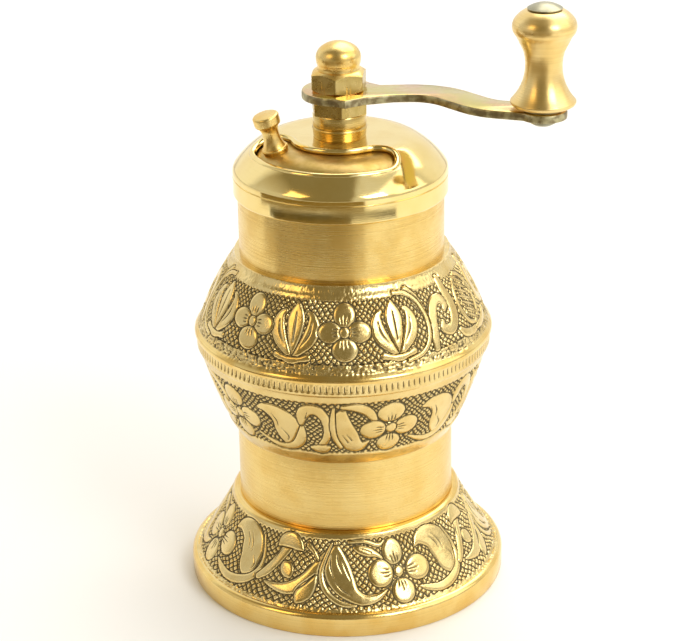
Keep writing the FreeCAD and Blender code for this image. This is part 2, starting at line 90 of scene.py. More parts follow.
COLUMNS = 960            # round each engraved casting
FINE_COLUMNS = 256       # round each plain turned piece
ROW_PITCH = 0.19         # between rows up an engraved flank
TICKS = 160              # round the milled band
RELIEF = 0.38            # depth of the engraved ground under the metal's face
ZONE_EDGE = 0.25         # over which a ground pattern fades out
SHAFT_BORE = 3.05        # radius of the holes round the shaft


# ---- outlines
def arc(start, via, end, steps=12):
    """Points on the circle through three points, from start to end."""
    (ax, ay), (bx, by), (cx, cy) = start, via, end
    d = 2 * (ax * (by - cy) + bx * (cy - ay) + cx * (ay - by))
    a2, b2, c2 = ax * ax + ay * ay, bx * bx + by * by, cx * cx + cy * cy
    ox = (a2 * (by - cy) + b2 * (cy - ay) + c2 * (ay - by)) / d
    oy = (a2 * (cx - bx) + b2 * (ax - cx) + c2 * (bx - ax)) / d
    radius = math.hypot(ax - ox, ay - oy)
    first, middle, last = (math.atan2(y - oy, x - ox) for x, y in (start, via, end))
    sweep = (last - first) % math.tau
    if (middle - first) % math.tau > sweep:
        sweep -= math.tau
    return [(ox + radius * math.cos(first + sweep * i / steps),
             oy + radius * math.sin(first + sweep * i / steps)) for i in range(steps + 1)]


def curve_on(outline, via, end, steps):
    """The outline carried on by an arc from its last point."""
    return outline + arc(outline[-1], via, end, steps)[1:]


def slope_arc(hub, radius, first, last, steps):
    """Points of an arc about a hub, from one slope to another; its top has slope 0."""
    slopes = [first + (last - first) * i / steps for i in range(steps + 1)]
    return [(hub[0] + radius * math.sin(a), hub[1] + radius * math.cos(a)) for a in slopes]


def soften(outline, steps=4, closed=True):
    """Outline in which each corner given as (x, y, radius) becomes a small round."""
    result = []
    count = len(outline)
    for i, corner in enumerate(outline):
        here = np.array(corner[:2], float)
        if len(corner) < 3 or (not closed and i in (0, count - 1)):
            result.append(tuple(here))
            continue
        before = np.array(outline[i - 1][:2], float) - here
        after = np.array(outline[(i + 1) % count][:2], float) - here
        room = 0.48 * min(np.linalg.norm(before), np.linalg.norm(after))
        u, v = before / np.linalg.norm(before), after / np.linalg.norm(after)
        half = math.acos(np.clip(u @ v, -1, 1)) / 2
        cut = min(corner[2] / math.tan(half), room)
        radius = cut * math.tan(half)
        hub = here + (u + v) / np.linalg.norm(u + v) * radius / math.sin(half)
        via = hub + (here - hub) / np.linalg.norm(here - hub) * radius
        result += arc(tuple(here + u * cut), tuple(via), tuple(here + v * cut), steps)
    return result


def evenly(path, pitch):
    """The same open path with points a pitch apart."""
    path = np.array(path)
    length = np.r_[0, np.cumsum(np.hypot(*np.diff(path, axis=0).T))]
    places = np.linspace(0, length[-1], max(2, round(length[-1] / pitch) + 1))
    return list(zip(*(np.interp(places, length, line) for line in path.T)))


def evenly_loop(loop, longest):
    """The closed loop with its long straight runs divided."""
    result = []
    for (ax, ay), (bx, by) in zip(loop, loop[1:] + loop[:1]):
        parts = max(1, round(math.dist((ax, ay), (bx, by)) / longest))
        result += [(ax + (bx - ax) * i / parts, ay + (by - ay) * i / parts) for i in range(parts)]
    return result


def outward(loop):
    """Unit normals of a closed loop, on the right of the way it runs."""
    along = np.roll(loop, -1, axis=0) - np.roll(loop, 1, axis=0)
    normal = np.stack([along[:, 1], -along[:, 0]], 1)
    return normal / np.maximum(np.linalg.norm(normal, axis=1, keepdims=True), 1e-9)


# ---- meshes
def full_turn(columns):
    """Angles of the columns round a whole turn, in radians."""
    return np.arange(columns) * math.tau / columns


def turned_points(r, z, angles):
    """Points at a radius and height for each angle; r and z may be grids of rows by columns."""
    r, z, angles = np.broadcast_arrays(r, z, angles)
    return np.stack([r * np.cos(angles), r * np.sin(angles), z], -1).reshape(-1, 3)


def grid_quads(rows, columns, closed_rows=True, closed_columns=True):
    """Quads of a grid that may be closed from its last row or column to its first."""
    i = np.arange(rows if closed_rows else rows - 1)[:, None]
    j = np.arange(columns if closed_columns else columns - 1)[None, :]
    up, right = (i + 1) % rows, (j + 1) % columns
    corners = [i * columns + j, i * columns + right, up * columns + right, up * columns + j]
    return np.stack(np.broadcast_arrays(*corners), -1).reshape(-1, 4)


def new_object(name, data):
    """Object of a mesh, lamp or camera, linked into the scene."""
    thing = bpy.data.objects.new(name, data)
    bpy.context.scene.collection.objects.link(thing)
    return thing


def shade(mesh, sharp_deg):
    """Smooth shading that breaks at edges sharper than an angle."""
    mesh.shade_smooth()
    mesh.set_sharp_from_angle(angle=math.radians(sharp_deg))


def new_mesh(name, points, faces, sharp_deg=35.0, recess=None):
    """Object from points in millimetres; recess, one value a point, steers the patina."""
    mesh = bpy.data.meshes.new(name)
    faces = faces.tolist() if isinstance(faces, np.ndarray) else faces
    mesh.from_pydata((np.asarray(points, float) * MM).tolist(), [], faces)
    if recess is not None:
        attribute = mesh.attributes.new("recess", "FLOAT", "POINT")
        attribute.data.foreach_set("value", np.asarray(recess, np.float32).ravel())
    clean = bmesh.new()
    clean.from_mesh(mesh)
    bmesh.ops.remove_doubles(clean, verts=clean.verts, dist=1e-7)
    bmesh.ops.dissolve_degenerate(clean, edges=clean.edges, dist=1e-8)
    clean.to_mesh(mesh)
    clean.free()
    shade(mesh, sharp_deg)
    return new_object(name, mesh)


def place(piece, body, slot, material, *nodes):
    """Let a piece ride a body, stand for its nodes and take its finish."""
    piece.data.materials.append(material)
    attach(piece, body)
    if nodes:
        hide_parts(*nodes)


def second_finish(piece, material, wanted):
    """Give the faces that pass a test another finish."""
    piece.data.materials.append(material)
    for polygon in piece.data.polygons:
        polygon.material_index = int(wanted(polygon))


def turned_piece(name, loop, columns=FINE_COLUMNS, at=AXIS):
    """Piece turned from an outline (r, z), about an upright axis through a point."""
    r, z = np.array(loop).T[:, :, None]
    points = turned_points(r, z, full_turn(columns)) + (at.x, at.y, 0)
    return new_mesh(name, points, grid_quads(len(loop), columns))


# ---- engraving
def spline(rows, per_span=6):
    """Curve through rows of (x, y, half width)."""
    padded = np.vstack([2 * rows[0] - rows[1], rows, 2 * rows[-1] - rows[-2]])
    t = np.linspace(0, 1, per_span, endpoint=False)[:, None]
    spans = [0.5 * (2 * b + (c - a) * t + (2 * a - 5 * b + 4 * c - d) * t ** 2
                    + (3 * b - a - 3 * c + d) * t ** 3)
             for a, b, c, d in zip(padded, padded[1:], padded[2:], padded[3:])]
    return np.vstack(spans + [rows[-1:]])


def inside(x, y, path):
    """How far points lie inside the edge of a stroke; negative outside it."""
    best = np.full(x.shape, -np.inf)
    for (x0, y0, w0), (x1, y1, w1) in zip(path, path[1:]):
        dx, dy = x1 - x0, y1 - y0
        t = np.clip(((x - x0) * dx + (y - y0) * dy) / max(dx * dx + dy * dy, 1e-9), 0, 1)
        best = np.maximum(best, w0 + (w1 - w0) * t - np.hypot(x - x0 - dx * t, y - y0 - dy * t))
    return best


def smooth(t):
    """Smooth step from 0 to 1."""
    t = np.clip(t, 0, 1)
    return t * t * (3 - 2 * t)


def triangle_wave(t):
    """1 at whole numbers, 0 half way between."""
    return np.abs(2 * (t % 1) - 1)


def sway(turn, y, slow, fast):
    """Unevenness of rows cut by hand: two waves, each (times round, radians a millimetre)."""
    return (0.17 * np.sin(slow[0] * turn + slow[1] * y)
            + 0.10 * np.sin(fast[0] * turn + fast[1] * y))


class Band:
    """Height map of an engraved band, in millimetres round it and up its slant."""

    def __init__(self, mid_radius, slant):
        self.turn = math.tau * mid_radius
        self.per_degree = self.turn / 360
        shape = (len(slant), COLUMNS)
        self.x = np.broadcast_to(np.arange(COLUMNS) * self.turn / COLUMNS, shape)
        self.y = np.broadcast_to(slant[:, None], shape)
        self.height = np.zeros(shape)
        self.cut = np.zeros(shape)

    def zone(self, low, high):
        """1 between two slant heights, falling softly to 0 outside them."""
        return smooth((self.y - low) / ZONE_EDGE) * smooth((high - self.y) / ZONE_EDGE)

    def hatch(self, low, high, count, facet=1.8, diamond=1.3):
        """Ground of small hand-cut pyramids; a larger facet gives them flatter tips."""
        turn = self.x / self.turn * math.tau
        round_it = self.x / self.turn * count
        rise = self.y / diamond
        left = round_it + rise + sway(turn, self.y, (11, 1.3), (29, -2.1))
        right = round_it - rise + sway(turn, self.y, (17, 0.9), (37, 1.7))
        pyramid = np.minimum(triangle_wave(left), triangle_wave(right))
        tip = 0.31 + 0.05 * np.sin(23 * turn + 3.1 * self.y)
        ground = -RELIEF + tip * smooth(pyramid * facet)
        zone = self.zone(low, high)
        self.height = self.height * (1 - zone) + ground * zone

    def stipple(self, low, high, depth, seed):
        """Matt punched border between two slant heights."""
        grain = np.random.default_rng(seed).standard_normal(self.x.shape)
        blur = grain.copy()
        for axis in (0, 1):
            for step in (-1, 1):
                blur += np.roll(grain, step, axis)
        punched = np.clip(blur / 2.2, -1.6, 1.2) - 2.2
        self.height += self.zone(low, high) * depth * punched

    def near(self, path, margin):
        """Points close to a path, as a mask with their coordinates moved next to it."""
        low, high = path.min(axis=0), path.max(axis=0)
        middle = (low[0] + high[0]) / 2
        x = (self.x - middle + self.turn / 2) % self.turn - self.turn / 2 + middle
        reach = high[2] + margin
        mask = ((x > low[0] - reach) & (x < high[0] + reach)
                & (self.y > low[1] - reach) & (self.y < high[1] + reach))
        return mask, x[mask], self.y[mask]

    def path(self, rows, start, scale):
        """Spline of a motif's rows (degrees, mm, half width), placed round the band."""
        rows = np.array(rows, float)
        rows[:, 0] = (start + rows[:, 0] * scale) * self.per_degree
        return spline(rows)

    def raise_stroke(self, rows, start=0.0, scale=1.0, moat=0.3, shoulder=0.75, widen=1.0):
        """Smooth domed leaf or stem with a dark moat round it, over whatever lies there."""
        path = self.path(rows, start, scale)
        path[:, 2] *= widen
        mask, x, y = self.near(path, moat)
        d = inside(x, y, path)
        moat_depth = RELIEF + 0.04
        outside = moat_depth * (smooth(-d / moat) - 1)
        round_off = np.sqrt(1 - (1 - np.clip(d / shoulder, 0, 1)) ** 2)
        dome = RELIEF * (0.9 * round_off + 0.1 * np.clip(d / 2.4, 0, 1) - 1)
        self.height[mask] = np.where(d > 0, dome, np.minimum(self.height[mask], outside))

    def incise(self, rows, start=0.0, scale=1.0, depth=0.16):
        """Vein cut into a leaf."""
        path = self.path(rows, start, scale)
        mask, x, y = self.near(path, 0.1)
        groove = smooth((inside(x, y, path) + 0.08) / 0.2)
        self.height[mask] -= depth * groove
        self.cut[mask] = np.maximum(self.cut[mask], groove)

    def recess(self):
        """From 0 on the metal's face to 1 in the ground, for the patina."""
        return np.clip(np.maximum((-self.height - 0.12) / 0.24, 0.9 * self.cut), 0, 1)


def ellipse(x, y, half_x, half_y, per_degree):
    """Stroke that fills an upright ellipse; x in degrees, the rest in millimetres."""
    small, large = sorted((half_x, half_y))
    run = large - small * 0.7
    steps = [(-run, 0.64), (-run / 2, 0.9), (0, 1), (run / 2, 0.9), (run, 0.64)]
    if half_x >= half_y:
        return [(x + step / per_degree, y, small * share) for step, share in steps]
    return [(x, y + step, small * share) for step, share in steps]


def flower(band, petals, button, start=0.0, scale=1.0):
    """Four petals with cut veins round a button: (degrees, mm up, half width, half height)."""
    deg = band.per_degree * scale
    for petal in petals:
        band.raise_stroke(ellipse(*petal, deg), start, scale, shoulder=1.0)
    at, y, _, _ = button
    for petal_at, petal_y, _, _ in petals:
        out = Vector(((petal_at - at) * deg, petal_y - y))
        side = out.orthogonal().normalized()
        for lean in (-1, 0, 1):
            reach = 1.02 if lean == 0 else 0.86
            vein = []
            for share, width in ((0.42, 0.05), (0.62, 0.15), (reach, 0.05)):
                spot = out * share + side * lean * 0.62 * (0.4 + share)
                vein.append((at + spot.x / deg, y + spot.y, width))
            band.incise(vein, start, scale)
    band.raise_stroke(ellipse(*button, deg), start, scale, shoulder=0.6)


def mirror(rows):
    """The same motif on the other side of its middle."""
    return [(-x, y, w) for x, y, w in rows]


# Motifs of the foot: (degrees from the flower, mm up the slant, half width in mm)
FOOT_LEAVES = [
    [(10.5, 11.2, 0.3), (13.5, 12.3, 1.0), (17.5, 12.4, 1.7), (22, 11.5, 2.3), (24.6, 9.8, 2.75),
     (25.2, 7.9, 2.4), (25.2, 6.1, 2.0), (25.0, 4.7, 1.1)],
    [(29.5, 12.7, 0.25), (31.9, 9.7, 0.38), (32.4, 7.2, 0.45), (31.2, 5.1, 0.6), (27.8, 3.2, 0.75),
     (22.5, 2.0, 0.85), (17, 1.7, 0.8), (11.5, 2.4, 0.6), (8, 3.2, 0.2)],
    [(43.4, 12.6, 1.1), (41.6, 10.9, 0.95), (39.6, 9.2, 0.9), (37.4, 7.4, 0.85), (35.0, 5.8, 0.8),
     (32.4, 4.5, 0.6)],
    [(38.2, 11.9, 0.35), (40.5, 13.0, 1.15), (43.8, 13.3, 1.45), (47, 12.7, 1.05), (49.8, 11.7, 0.25)],
    [(42.9, 8.2, 0.7), (44.2, 7.4, 1.3), (45.4, 6.3, 0.6)],
    [(64.2, 13.6, 0.45), (61.6, 12.0, 0.65), (58.9, 10.2, 0.85), (56.3, 8.4, 1.0), (53.2, 6.4, 1.1),
     (49.6, 4.6, 1.25), (44.9, 3.6, 1.05), (39.7, 3.6, 0.6), (36.0, 3.9, 0.25)],
    [(56.6, 6.8, 0.3), (55.0, 5.2, 0.95), (53.3, 3.8, 1.35), (51.7, 2.7, 1.2), (50.5, 1.6, 0.5)],
    [(64.5, 12.3, 0.9), (64.2, 10.5, 1.9), (65.3, 8.2, 2.4), (67.5, 5.8, 2.1), (70.5, 3.7, 1.4),
     (75, 2.3, 1.0), (80, 2.6, 0.7), (84, 3.8, 0.2)],
    [(62.5, 13.6, 0.25), (59.8, 10.4, 0.4), (58.6, 7.8, 0.45), (59.8, 5.2, 0.5), (63, 3.0, 0.5),
     (67.5, 1.6, 0.5), (72, 1.2, 0.25)],
    [(72.5, 12.6, 0.35), (75, 12.3, 0.8), (78.5, 11.7, 0.85), (82, 11.0, 0.45), (84.5, 10.0, 0.2)],
    [(52, 12.9, 0.5), (55, 11.6, 0.4), (57, 10.2, 0.25)],
    [(86, 13.6, 0.25), (83, 12.9, 0.4), (77, 13.9, 0.35), (70, 13.9, 0.3)]]
FOOT_VEINS = [
    [(19.6, 11.9, 0.06), (22.2, 10.4, 0.14), (23.4, 8.7, 0.05)],
    [(21.8, 12.3, 0.05), (24.5, 10.4, 0.13), (25.6, 8.4, 0.05)],
    [(27.3, 8.0, 0.06), (28.9, 6.6, 0.13), (28.2, 5.2, 0.06)],
    [(56.4, 7.6, 0.08), (53.6, 5.6, 0.18), (50, 3.9, 0.08)],
    [(40.4, 11.2, 0.05), (38.7, 9.9, 0.14), (37.9, 8.7, 0.05)],
    [(62.3, 11.4, 0.07), (62.3, 9.0, 0.16), (63.8, 6.8, 0.07)],
    [(65.0, 11.6, 0.07), (65.6, 9.6, 0.17), (67.4, 7.6, 0.07)],
    [(67.3, 10.0, 0.06), (69.0, 8.0, 0.13), (70.6, 6.2, 0.06)],
    [(64.4, 6.0, 0.07), (67.2, 4.4, 0.15), (70.5, 3.3, 0.06)],
    [(75, 12.5, 0.05), (79.5, 11.6, 0.11)]]
FOOT_FLOWER = [(-1.2, 11.2, 2.3, 2.8), (9.3, 7.0, 2.6, 2.6), (-8.2, 7.2, 2.6, 2.8),
               (0.5, 3.1, 2.3, 2.6)]
# each flower's place round the foot and the degrees to the next: the maker's spacing is uneven
FOOT_REPEATS = [(-164, 96), (-68, 88), (20, 88), (108, 88)]

# Motifs of the bowl, in the same form
BOWL_LEAVES = [
    [(14.2, 13.4, 0.45), (18.5, 13.6, 1.3), (23.2, 12.6, 2.2), (26.0, 10.8, 2.7), (26.2, 8.8, 2.7),
     (25.4, 7.0, 1.9), (25.4, 5.6, 1.2)],
    [(33.6, 10.4, 0.4), (33.0, 8.4, 0.85), (31.6, 6.4, 1.1), (29.2, 4.9, 1.0), (25.2, 4.0, 0.85),
     (20.0, 3.9, 0.75), (14.8, 4.7, 0.6), (9.8, 6.0, 0.3)],
    [(33.4, 11.2, 0.55), (34.2, 13.2, 1.05), (36.6, 14.8, 1.3), (39.8, 15.1, 1.25), (42.6, 13.9, 1.0),
     (44.2, 12.0, 0.85), (44.6, 9.6, 0.8), (43.6, 7.4, 0.75), (41.6, 5.6, 0.8)],
    [(36.6, 4.6, 0.45), (39.0, 4.4, 1.0), (42.0, 4.4, 1.15), (44.6, 4.9, 0.4)],
    [(51.2, 15.2, 0.5), (50.4, 13.0, 1.4), (51.0, 10.6, 1.9), (52.8, 8.2, 2.1), (54.8, 6.0, 1.9),
     (58.2, 5.1, 1.2), (62.2, 6.4, 0.35)],
    [(51.5, 15.9, 0.6), (56.5, 15.8, 1.0), (61, 14.6, 1.0), (63.6, 12.8, 0.75), (64.8, 11.4, 0.35)],
    [(47.6, 15.6, 0.3), (46.9, 12.8, 0.5), (46.8, 10.0, 0.55), (47.6, 7.4, 0.55), (49.8, 5.0, 0.5)]]
BOWL_VEINS = [
    [(20.4, 12.7, 0.06), (22.3, 10.9, 0.15), (22.2, 9.3, 0.06)],
    [(18.2, 12.5, 0.05), (19.8, 10.8, 0.13), (20.1, 9.2, 0.05)],
    [(23.6, 9.3, 0.06), (26.3, 7.2, 0.14), (25.5, 5.8, 0.07)],
    [(50.7, 8.6, 0.06), (53.2, 6.4, 0.14)],
    [(52.6, 8.8, 0.06), (54.8, 7.0, 0.14)],
    [(36.9, 14.6, 0.06), (35.6, 12.6, 0.13)]]
BOWL_FLOWER = [(-0.8, 13.7, 2.8, 2.5), (7.0, 9.5, 2.5, 2.5), (-8.1, 9.5, 2.5, 2.5),
               (-0.3, 5.5, 2.6, 2.4)]

# Scroll panel of the shoulder, from its middle; the other half is its mirror image
SCROLL_LEAVES = [
    [(-37.0, 14.9, 0.9), (-33.6, 12.9, 0.95), (-31.2, 10.2, 0.8), (-30.0, 7.8, 0.5)],
    [(-29.2, 2.2, 0.7), (-28.4, 5.0, 0.95), (-27.2, 8.0, 1.1), (-24.4, 10.6, 1.15),
     (-20.2, 11.3, 1.05), (-17.6, 9.8, 0.9), (-19.0, 8.9, 0.6)],
    [(-15.0, 14.9, 0.9), (-14.6, 12.4, 1.1), (-13.4, 9.6, 1.2), (-14.4, 6.6, 1.2),
     (-18.4, 4.7, 1.15), (-22.6, 5.4, 0.9), (-22.4, 6.6, 0.6)],
    [(-13.0, 3.6, 0.6), (-10.0, 2.4, 0.85), (-5.4, 1.9, 0.8), (0, 1.9, 0.7)],
    [(0, 13.8, 0.45), (-4.6, 12.6, 0.5), (-7.8, 9.9, 0.5), (-7.8, 6.6, 0.5), (-4.6, 3.9, 0.5),
     (0, 2.9, 0.45)]]
# Palmette that alternates with flowers in the long panel, and the line that closes the panel
PALMETTE_SIDE = [(1.2, 3.2, 0.45), (3.6, 4.6, 0.9), (6.3, 6.4, 1.35), (8.0, 8.6, 1.35),
                 (7.4, 10.8, 0.8), (5.6, 11.6, 0.5)]
PALMETTE = [
    [(0, 3.0, 0.5), (0, 5.2, 0.8), (0, 7.8, 1.5), (0, 10.4, 1.75), (0, 12.9, 0.7)],
    PALMETTE_SIDE,
    mirror(PALMETTE_SIDE),
    [(-6.4, 3.0, 0.7), (-3.4, 2.6, 0.55), (0, 2.3, 0.75), (3.4, 2.6, 0.55), (6.4, 3.0, 0.7)]]
PALMETTE_SIDE_VEIN = [(3.4, 5.0, 0.05), (6.6, 7.4, 0.15), (7.6, 9.8, 0.05)]
PALMETTE_VEINS = [
    [(0, 5.6, 0.05), (0, 8.6, 0.16), (0, 11.6, 0.05)],
    PALMETTE_SIDE_VEIN,
    mirror(PALMETTE_SIDE_VEIN)]
PANEL_END = [(46, 14.9, 0.5), (52, 14.3, 0.5), (56.6, 12.4, 0.5), (59.0, 9.6, 0.5), (59.4, 7.0, 0.5),
             (57.8, 4.2, 0.5), (53.5, 2.2, 0.5), (47, 1.4, 0.4)]
SHOULDER_FLOWER = [(0, 11.5, 2.3, 2.4), (6.3, 8.1, 2.4, 2.1), (-6.3, 8.1, 2.4, 2.1),
                   (0, 4.7, 2.3, 2.3)]


def engrave_foot(band):
    """Ground, flowers and leaves of the foot."""
    band.stipple(-1.0, 0.6, 0.05, 3)
    band.hatch(0.4, 14.5, 124)
    for start, degrees in FOOT_REPEATS:
        scale = degrees / 90
        for leaf in FOOT_LEAVES:
            band.raise_stroke(leaf, start, scale, widen=1.14)
        for vein in FOOT_VEINS:
            band.incise(vein, start, scale)
        flower(band, FOOT_FLOWER, (0, 7.1, 1.0, 1.1), start, scale)


def engrave_bowl(band):
    """Ground, flowers and leaves of the bowl, five times round."""
    band.hatch(3.2, 17.1, 134, 1.4)
    for start in range(-142, 218, 72):
        for leaf in BOWL_LEAVES:
            band.raise_stroke(leaf, start, widen=1.08)
        for vein in BOWL_VEINS:
            band.incise(vein, start)
        flower(band, BOWL_FLOWER, (0, 9.5, 1.15, 1.2), start)


def engrave_shoulder(band):
    """Two long panels of palmettes and flowers, two panels of scrolls between them."""
    band.hatch(1.7, 14.4, 134)
    band.stipple(-1.0, 2.2, 0.08, 5)
    band.stipple(14.2, 20.0, 0.02, 7)
    for middle in (-21, 159):
        for leaf in SCROLL_LEAVES:
            band.raise_stroke(leaf, middle, shoulder=0.4)
            band.raise_stroke(mirror(leaf), middle, shoulder=0.4)
        for line in range(-3, 4):
            reach = 5.6 - 0.5 * abs(line)
            rise = 8.3 + line * 1.35
            rib = [(-reach, rise + 1.3, 0.16), (0, rise, 0.3), (reach, rise - 1.3, 0.16)]
            band.raise_stroke(rib, middle, moat=0.2, shoulder=0.25)
    for middle in (-111, 69):
        for line in (mirror(PANEL_END), PANEL_END):
            band.raise_stroke(line, middle, shoulder=0.3)
        for offset in (-43.5, 0, 43.5):
            for leaf in PALMETTE:
                band.raise_stroke(leaf, middle + offset, shoulder=0.45)
            for vein in PALMETTE_VEINS:
                band.incise(vein, middle + offset)
        for offset in (-21.5, 21.5):
            flower(band, SHOULDER_FLOWER, (0, 8.1, 1.0, 1.05), middle + offset)


def engraved_piece(name, before, flank, after, mid_radius, engrave, ticks=None):
    """Turned casting with an engraved flank between plain rows.

    ticks, as (lowest, highest, depth), mills the plain rows after the flank.
    """
    dense = evenly(flank, ROW_PITCH)
    loop = np.array(before + dense + after)
    band = Band(mid_radius, np.arange(len(dense)) * math.dist(dense[0], dense[1]))
    engrave(band)
    height = np.zeros((len(loop), COLUMNS))
    recess = np.zeros((len(loop), COLUMNS))
    rows = slice(len(before), len(before) + len(dense))
    height[rows] = band.height
    recess[rows] = band.recess()
    if ticks is not None:
        first, last, depth = ticks
        milled = triangle_wave(np.arange(COLUMNS) * TICKS / COLUMNS + 0.5)
        groove = 1 - smooth(2.3 * milled)
        for i, (r, z) in enumerate(loop):
            if i >= rows.stop and first < z < last and r > mid_radius:
                height[i] = -depth * groove
                recess[i] = 0.75 * groove
    normal = outward(loop)
    r = loop[:, :1] + height * normal[:, :1]
    z = loop[:, 1:] + height * normal[:, 1:]
    points = turned_points(r, z, full_turn(COLUMNS))
    return new_mesh(name, points, grid_quads(len(loop), COLUMNS), 60.0, recess)


# ---- materials
def rgb(*values):
    """Opaque colour."""
    return (*values, 1.0)


class Tree:
    """A node tree, built up from small steps."""

    def __init__(self, tree):
        self.nodes = tree.nodes
        self.links = tree.links

    def wire(self, source, target):
        """Link an output to a socket, or set the socket to a plain value."""
        if hasattr(source, "is_output"):
            self.links.new(source, target)
        else:
            target.default_value = source

    def add(self, kind, sources=None, **settings):
        """New node with its settings, its sockets wired by name or number."""
        node = self.nodes.new("ShaderNode" + kind)
        for setting, value in settings.items():
            setattr(node, setting, value)
        for socket, source in (sources or {}).items():
            self.wire(source, node.inputs[socket])
        return node

    def math(self, operation, a, b=0.0):
        return self.add("Math", {0: a, 1: b}, operation=operation).outputs[0]

    def ramp(self, value, low, high, out_low=0.0, out_high=1.0):
        sources = dict(enumerate((value, low, high, out_low, out_high)))
        return self.add("MapRange", sources, interpolation_type="SMOOTHSTEP").outputs[0]


class Finish(Tree):
    """Node material of one metal, turned about an upright axis through a point."""

    def __init__(self, name, at=AXIS):
        self.at = at
        self.material = bpy.data.materials.new(name)
        self.material.use_nodes = True
        super().__init__(self.material.node_tree)
        self.shader = self.nodes["Principled BSDF"]
        self.where = self.add("TexCoord").outputs["Object"]

    def noise(self, size_mm, detail=3.0, rough=0.55):
        sources = {"Vector": self.where, "Scale": 1 / (size_mm * MM), "Detail": detail,
                   "Roughness": rough}
        return self.add("TexNoise", sources).outputs["Fac"]

    def mix(self, share, a, b):
        node = self.add("Mix", {"Factor": share, "A": a, "B": b}, data_type="RGBA")
        return next(s for s in node.outputs if s.type == "RGBA")

    def bump(self, height, strength, distance_mm, below=None):
        sources = {"Strength": strength, "Distance": distance_mm * MM, "Height": height}
        if below is not None:
            sources["Normal"] = below
        return self.add("Bump", sources).outputs["Normal"]

    def turning_marks(self, pitch_mm):
        """Value that changes only across the marks a lathe leaves round the axis."""
        axis = (self.at.x * MM, self.at.y * MM, 0)
        moved = self.add("VectorMath", {0: self.where, 1: axis}, operation="SUBTRACT")
        x, y, z = self.add("SeparateXYZ", {0: moved.outputs[0]}).outputs
        squares = self.math("ADD", self.math("MULTIPLY", x, x), self.math("MULTIPLY", y, y))
        along = self.math("SUBTRACT", self.math("SQRT", squares), z)
        across = self.math("MULTIPLY", along, 1 / (pitch_mm * MM))
        sources = {"W": across, "Scale": 1.0, "Detail": 4.0}
        return self.add("TexNoise", sources, noise_dimensions="1D").outputs["Fac"]

    def brushed(self, amount):
        """Stretch highlights across marks that run round the axis."""
        tangent = self.add("Tangent", direction_type="RADIAL", axis="Z")
        self.wire(tangent.outputs[0], self.shader.inputs["Tangent"])
        self.shader.inputs["Anisotropic"].default_value = amount
        self.shader.inputs["Anisotropic Rotation"].default_value = 0.25

    def finish(self, colour, roughness, normal, metallic=1.0):
        """The material, with these wired to its shader."""
        self.wire(colour, self.shader.inputs["Base Color"])
        self.wire(roughness, self.shader.inputs["Roughness"])
        self.wire(metallic, self.shader.inputs["Metallic"])
        self.wire(normal, self.shader.inputs["Normal"])
        return self.material


PALE_BRASS = rgb(0.87, 0.65, 0.25)
WARM_BRASS = rgb(0.80, 0.53, 0.15)
DULL_BRASS = rgb(0.52, 0.36, 0.11)
PATINA = rgb(0.060, 0.045, 0.016)


def cast_brass():
    """Engraved casting: polished leaves, dark patina in the ground, fine cast grain."""
    f = Finish("cast_brass")
    recess = f.add("Attribute", attribute_name="recess").outputs["Fac"]
    uneven = f.math("MULTIPLY", f.noise(0.5, 4), 0.30)
    deep = f.ramp(f.math("ADD", recess, uneven), 0.30, 0.86)
    cloud = f.ramp(f.noise(5.0, 5), 0.35, 0.7)
    base = f.mix(cloud, rgb(0.81, 0.63, 0.28), rgb(0.72, 0.52, 0.195))
    worn = f.mix(f.ramp(f.noise(0.9, 5, 0.7), 0.58, 0.75, 0.0, 0.35), base, DULL_BRASS)
    colour = f.mix(f.math("MULTIPLY", deep, 0.93), worn, PATINA)
    polish = f.ramp(f.noise(1.6, 4), 0.3, 0.7, 0.14, 0.25)
    rough = f.math("ADD", polish, f.math("MULTIPLY", deep, 0.32))
    grain = f.bump(f.noise(0.22, 3, 0.7), 0.25, 0.05)
    dents = f.bump(f.noise(2.4, 2), 0.25, 0.25, grain)
    return f.finish(colour, rough, dents, f.math("SUBTRACT", 1.0, f.math("MULTIPLY", deep, 0.45)))


def turned_metal(name, pale, warm, rough, pitch_mm, marks, speck=0.12, stretch=0.0, stripe=0.3,
                 at=AXIS):
    """Turned or brushed brass: marks round the axis, slow colour change, small specks.

    rough is the lowest and highest roughness; stretch is how far highlights are drawn out.
    """
    f = Finish(name, at)
    if stretch:
        f.brushed(stretch)
    cloud = f.noise(6.0, 4)
    base = f.mix(f.ramp(cloud, 0.32, 0.7), pale, warm)
    lines = f.turning_marks(pitch_mm)
    lined = f.mix(f.ramp(lines, 0.35, 0.7, 0.0, stripe), base, DULL_BRASS)
    colour = f.mix(f.ramp(f.noise(0.8, 5, 0.75), 0.66, 0.76, 0.0, speck), lined, PATINA)
    uneven = f.ramp(cloud, 0.4, 0.8, 0.0, 0.05)
    roughness = f.math("ADD", f.ramp(lines, 0.3, 0.7, *rough), uneven)
    ridges = f.bump(lines, marks, 0.03)
    return f.finish(colour, roughness, f.bump(f.noise(1.5, 3), 0.08, 0.1, ridges))


def plain_metal(name, pale, warm, rough, grain_mm, grain, speck=0.2, cloud_mm=4.0):
    """Cast, pressed or plated metal: mottled colour, specks and fine grain."""
    f = Finish(name)
    base = f.mix(f.ramp(f.noise(cloud_mm, 5), 0.38, 0.62), pale, warm)
    colour = f.mix(f.ramp(f.noise(0.6, 5, 0.75), 0.60, 0.74, 0.0, speck), base, PATINA)
    roughness = f.ramp(f.noise(1.2, 4), 0.3, 0.7, *rough)
    return f.finish(colour, roughness, f.bump(f.noise(grain_mm, 4, 0.65), grain, 0.05))


